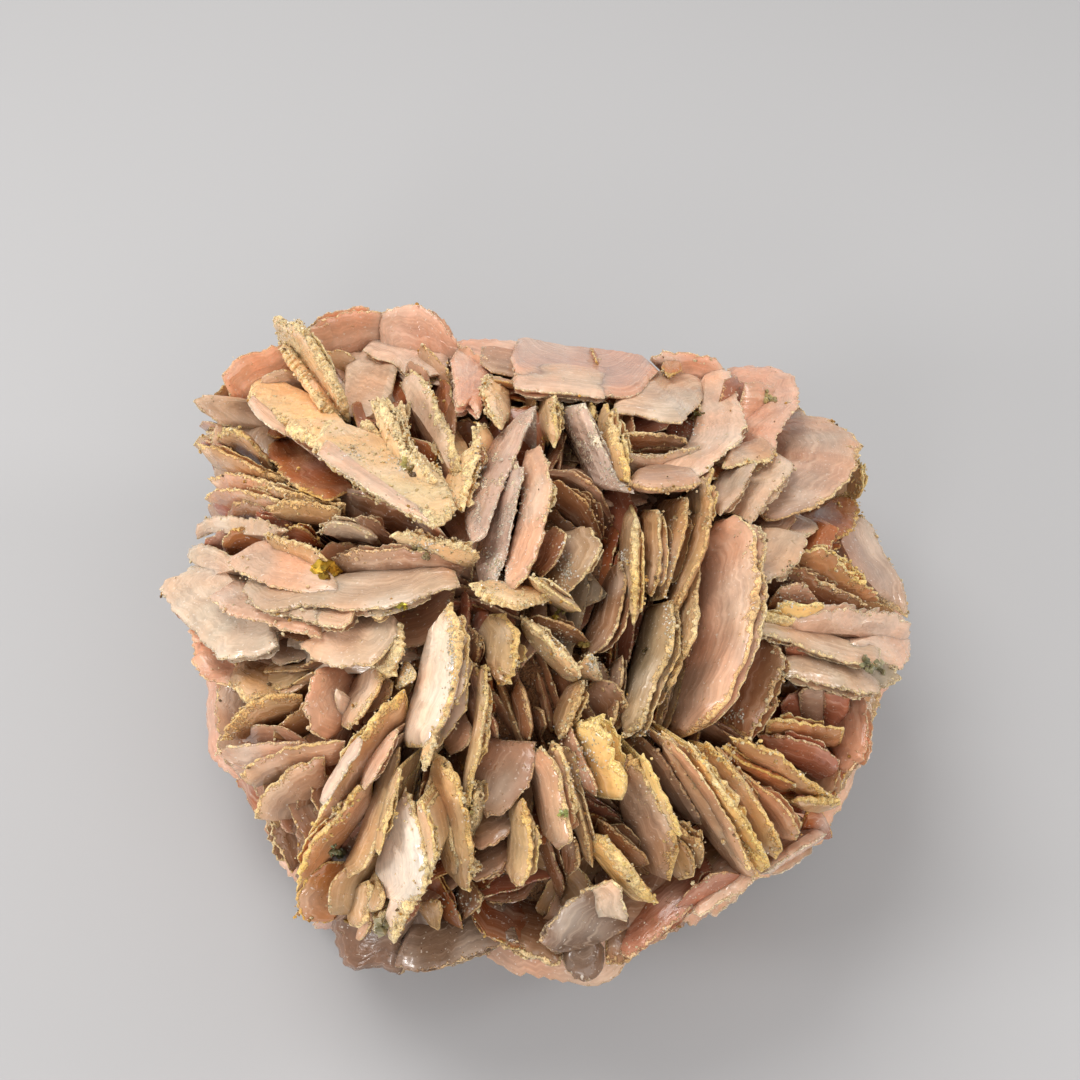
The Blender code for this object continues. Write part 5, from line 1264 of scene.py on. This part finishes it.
def clusters(name, places, material):
    """Clumps of small crystals grown on the blades: (u, v, spread in mm, how many, size in mm, colour)."""
    co, tint, made = [], [], 0
    r = random.Random(len(name))
    box = [(0, 1, 3, 2), (4, 6, 7, 5), (0, 4, 5, 1), (2, 3, 7, 6), (0, 2, 6, 4), (1, 5, 7, 3)]
    faces = []
    for u, v, spread, many, size, colour in places:
        found = landing(u, v)
        if found is None:
            continue
        at, out = found
        for _ in range(many):
            far = np.array([r.gauss(0, 0.5) for _ in range(3)]) * spread
            far = far - out * (far @ out) * 0.7
            s = size * r.uniform(0.55, 1.1)
            q = block(r, s) + at + far + out * s * 0.45
            q[:, 2] = np.maximum(q[:, 2], 0.0)
            co.append(q)
            tint.append(np.tile(rgb(colour) * r.uniform(0.7, 1.25), (8, 1)))
            faces += [tuple(8 * made + k for k in f[::-1]) for f in box]
            made += 1
    co = np.vstack(co)
    faces = np.array([t for f in faces for t in ((f[0], f[1], f[2]), (f[0], f[2], f[3]))])
    a, b, c = (co[faces[:, k]] for k in range(3))
    middle = co.reshape(-1, 8, 3).mean(axis=1)[faces[:, 0] // 8]
    inward = (np.cross(b - a, c - a) * ((a + b + c) / 3 - middle)).sum(axis=1) < 0
    faces[inward] = faces[inward][:, ::-1]
    tint = np.clip(np.vstack(tint), 0, 1)
    return put(name, co, faces, {"tint": tint, "crust_tint": tint, "crust": np.zeros(len(co)),
               "lay": co * 1.0, "gloss": np.full(len(co), 1.0)}, material, smooth=False)


def brass_material():
    mat = bpy.data.materials.new("brassy")
    mat.use_nodes = True
    t = mat.node_tree
    sh = t.nodes["Principled BSDF"]
    tint = node(t, "ShaderNodeAttribute", -700, 300, attribute_name="tint").outputs["Color"]
    place = node(t, "ShaderNodeTexCoord", -1100, 0).outputs["Object"]
    stain = grainy(t, -900, 0, place, 1800.0, 3.0, 0.6)
    t.links.new(scaled(t, -400, 300, tint, mapped(t, -650, 0, stain, 0.3, 0.7, 0.6, 1.3)), sh.inputs["Base Color"])
    t.links.new(mapped(t, -650, -250, stain, 0.3, 0.7, 0.22, 0.5), sh.inputs["Roughness"])
    sh.inputs["Metallic"].default_value = 0.85
    return mat


pieces.append(clusters("brassy_crystals", (
    (322, 570, 0.55, 6, 0.80, "c8a23c"), (330, 571, 0.60, 7, 0.85, "b98f34"), (326, 578, 0.40, 4, 0.60, "8a6c28"),
    (334, 562, 0.40, 3, 0.42, "a3823a"), (403, 605, 0.55, 4, 0.36, "9a9038"), (345, 921, 0.3, 2, 0.3, "a07a30"),
    (555, 619, 0.35, 3, 0.30, "a89440"), (412, 520, 0.3, 2, 0.25, "b08c38")), brass_material()))
pieces.append(clusters("green_specks", (
    (334, 849, 0.9, 9, 0.42, "66724e"), (342, 852, 0.9, 8, 0.45, "8a8560"), (337, 855, 0.6, 5, 0.30, "4c5a40"),
    (699, 414, 0.7, 7, 0.30, "6e6430"), (694, 420, 0.6, 5, 0.28, "8a7440"), (768, 398, 0.9, 9, 0.34, "a89a68"),
    (773, 400, 0.6, 6, 0.30, "b0a070"), (868, 664, 0.9, 9, 0.45, "7c7858"), (876, 668, 0.9, 8, 0.45, "969070"),
    (405, 464, 0.7, 7, 0.38, "a09458"), (411, 471, 0.6, 5, 0.30, "6e5a30"), (414, 476, 0.5, 4, 0.28, "5c4424"),
    (385, 922, 0.8, 7, 0.50, "7c7350"), (380, 928, 0.6, 5, 0.50, "9a9070"), (645, 652, 0.4, 4, 0.30, "4a3c22"),
    (404, 606, 0.8, 6, 0.36, "6c6834"), (418, 548, 0.7, 7, 0.35, "8a7c50"), (425, 556, 0.7, 6, 0.35, "7a6c44"),
    (560, 612, 0.6, 6, 0.30, "8c8240"), (583, 643, 0.6, 5, 0.30, "a08c50"), (470, 812, 0.5, 5, 0.3, "8c7c48"),
    (563, 812, 0.4, 4, 0.25, "8a9050"), (296, 918, 0.4, 4, 0.30, "a8862c"), (352, 448, 0.5, 4, 0.25, "d0b890")), gypsum))

# sparkling grey and olive grit in drifts on the blades: middle and half-widths on the sheet, how many grains
GRIT = [(497, 566, 15, 20, 190), (566, 570, 9, 20, 120), (625, 556, 5, 9, 40), (594, 664, 10, 9, 90), (520, 500, 9, 26, 60),
        (405, 672, 11, 16, 60), (452, 650, 6, 40, 110), (585, 760, 20, 36, 110), (462, 905, 14, 12, 40), (424, 545, 14, 6, 60),
        (352, 452, 14, 9, 40), (560, 640, 16, 16, 70), (640, 735, 20, 10, 60), (790, 600, 20, 10, 50), (402, 462, 20, 12, 70),
        (480, 470, 8, 20, 60), (690, 430, 16, 12, 40), (610, 470, 10, 16, 40), (736, 716, 12, 8, 50), (668, 590, 8, 60, 90)]
rng = random.Random(77)
drift = []
for u, v, du, dv, many in GRIT:
    for _ in range(many):
        a, b = u + rng.gauss(0, 0.5) * du, v + rng.gauss(0, 0.5) * dv
        found = landing(a, b)
        if found is None:
            continue
        at, out = found
        colour = rgb(rng.choice(("d8ceb6", "eee4d4", "c0b498", "a89c7c", "e2cfa8", "f4ece0")))
        drift.append((at + out * 0.02, rng.uniform(0.07, 0.19), 0.2, colour * rng.uniform(0.8, 1.1), 0.1, rng.uniform(0.4, 1.4)))
print("grit", len(drift))
pieces.append(grains("grit", drift, gypsum, eight, sides, 19))

for ob in pieces:
    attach(ob, "root")
    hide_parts("sand_rose")

# ---------------------------------------------------------------- floor, light, camera
def plain(name, colour, roughness):
    mat = bpy.data.materials.new(name)
    mat.use_nodes = True
    sh = mat.node_tree.nodes["Principled BSDF"]
    sh.inputs["Base Color"].default_value = (*colour, 1)
    sh.inputs["Roughness"].default_value = roughness
    return mat


mesh = bpy.data.meshes.new("floor")
mesh.from_pydata([(-3, -3, 0), (3, -3, 0), (3, 3, 0), (-3, 3, 0)], [], [(0, 1, 2, 3)])
mesh.materials.append(plain("floor", (0.40, 0.40, 0.41), 0.8))
floor = bpy.data.objects.new("floor", mesh)
bpy.context.scene.collection.objects.link(floor)
floor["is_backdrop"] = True


def lamp(name, at, to, size, energy, colour):
    data = bpy.data.lights.new(name, "AREA")
    data.shape = "DISK"
    data.size = size
    data.energy = energy
    data.color = colour
    ob = bpy.data.objects.new(name, data)
    ob.location = at
    ob.rotation_euler = (Vector(to) - Vector(at)).to_track_quat("-Z", "Y").to_euler()
    bpy.context.scene.collection.objects.link(ob)


lamp("key", (-0.17, 0.16, 0.46), (0, 0, 0.02), 0.32, 1.64, (1.0, 0.975, 0.94))
lamp("fill", (0.20, -0.40, 0.34), (0, 0, 0.02), 0.44, 0.9, (1.0, 0.98, 0.96))
for k, (x, y, z, size, energy) in enumerate(((-0.45, -0.12, 0.17, 0.12, 1.1), (0.42, 0.04, 0.24, 0.13, 0.6),
                                             (-0.12, -0.42, 0.24, 0.10, 0.4))):
    lamp("small_%d" % k, (x, y, z), (0, 0, 0.02), size, energy, (1.0, 0.98, 0.96))
world = bpy.data.worlds.new("room")
bpy.context.scene.world = world
world.use_nodes = True
world.node_tree.nodes["Background"].inputs[0].default_value = (1.0, 0.985, 0.965, 1)
world.node_tree.nodes["Background"].inputs[1].default_value = 0.54

data = bpy.data.cameras.new("camera")
data.lens = 45.0
data.sensor_width = 36.0
data.clip_start = 0.005
camera = bpy.data.objects.new("camera", data)
camera.location = Vector((EYE * 0.001).tolist())
camera.rotation_euler = Vector(LOOK.tolist()).to_track_quat("-Z", "Y").to_euler()
bpy.context.scene.collection.objects.link(camera)
bpy.context.scene.camera = camera
bpy.context.scene.view_settings.view_transform = "Standard"
print("triangles", sum(g.triangles() for g in GROUPS.values()))

low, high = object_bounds()
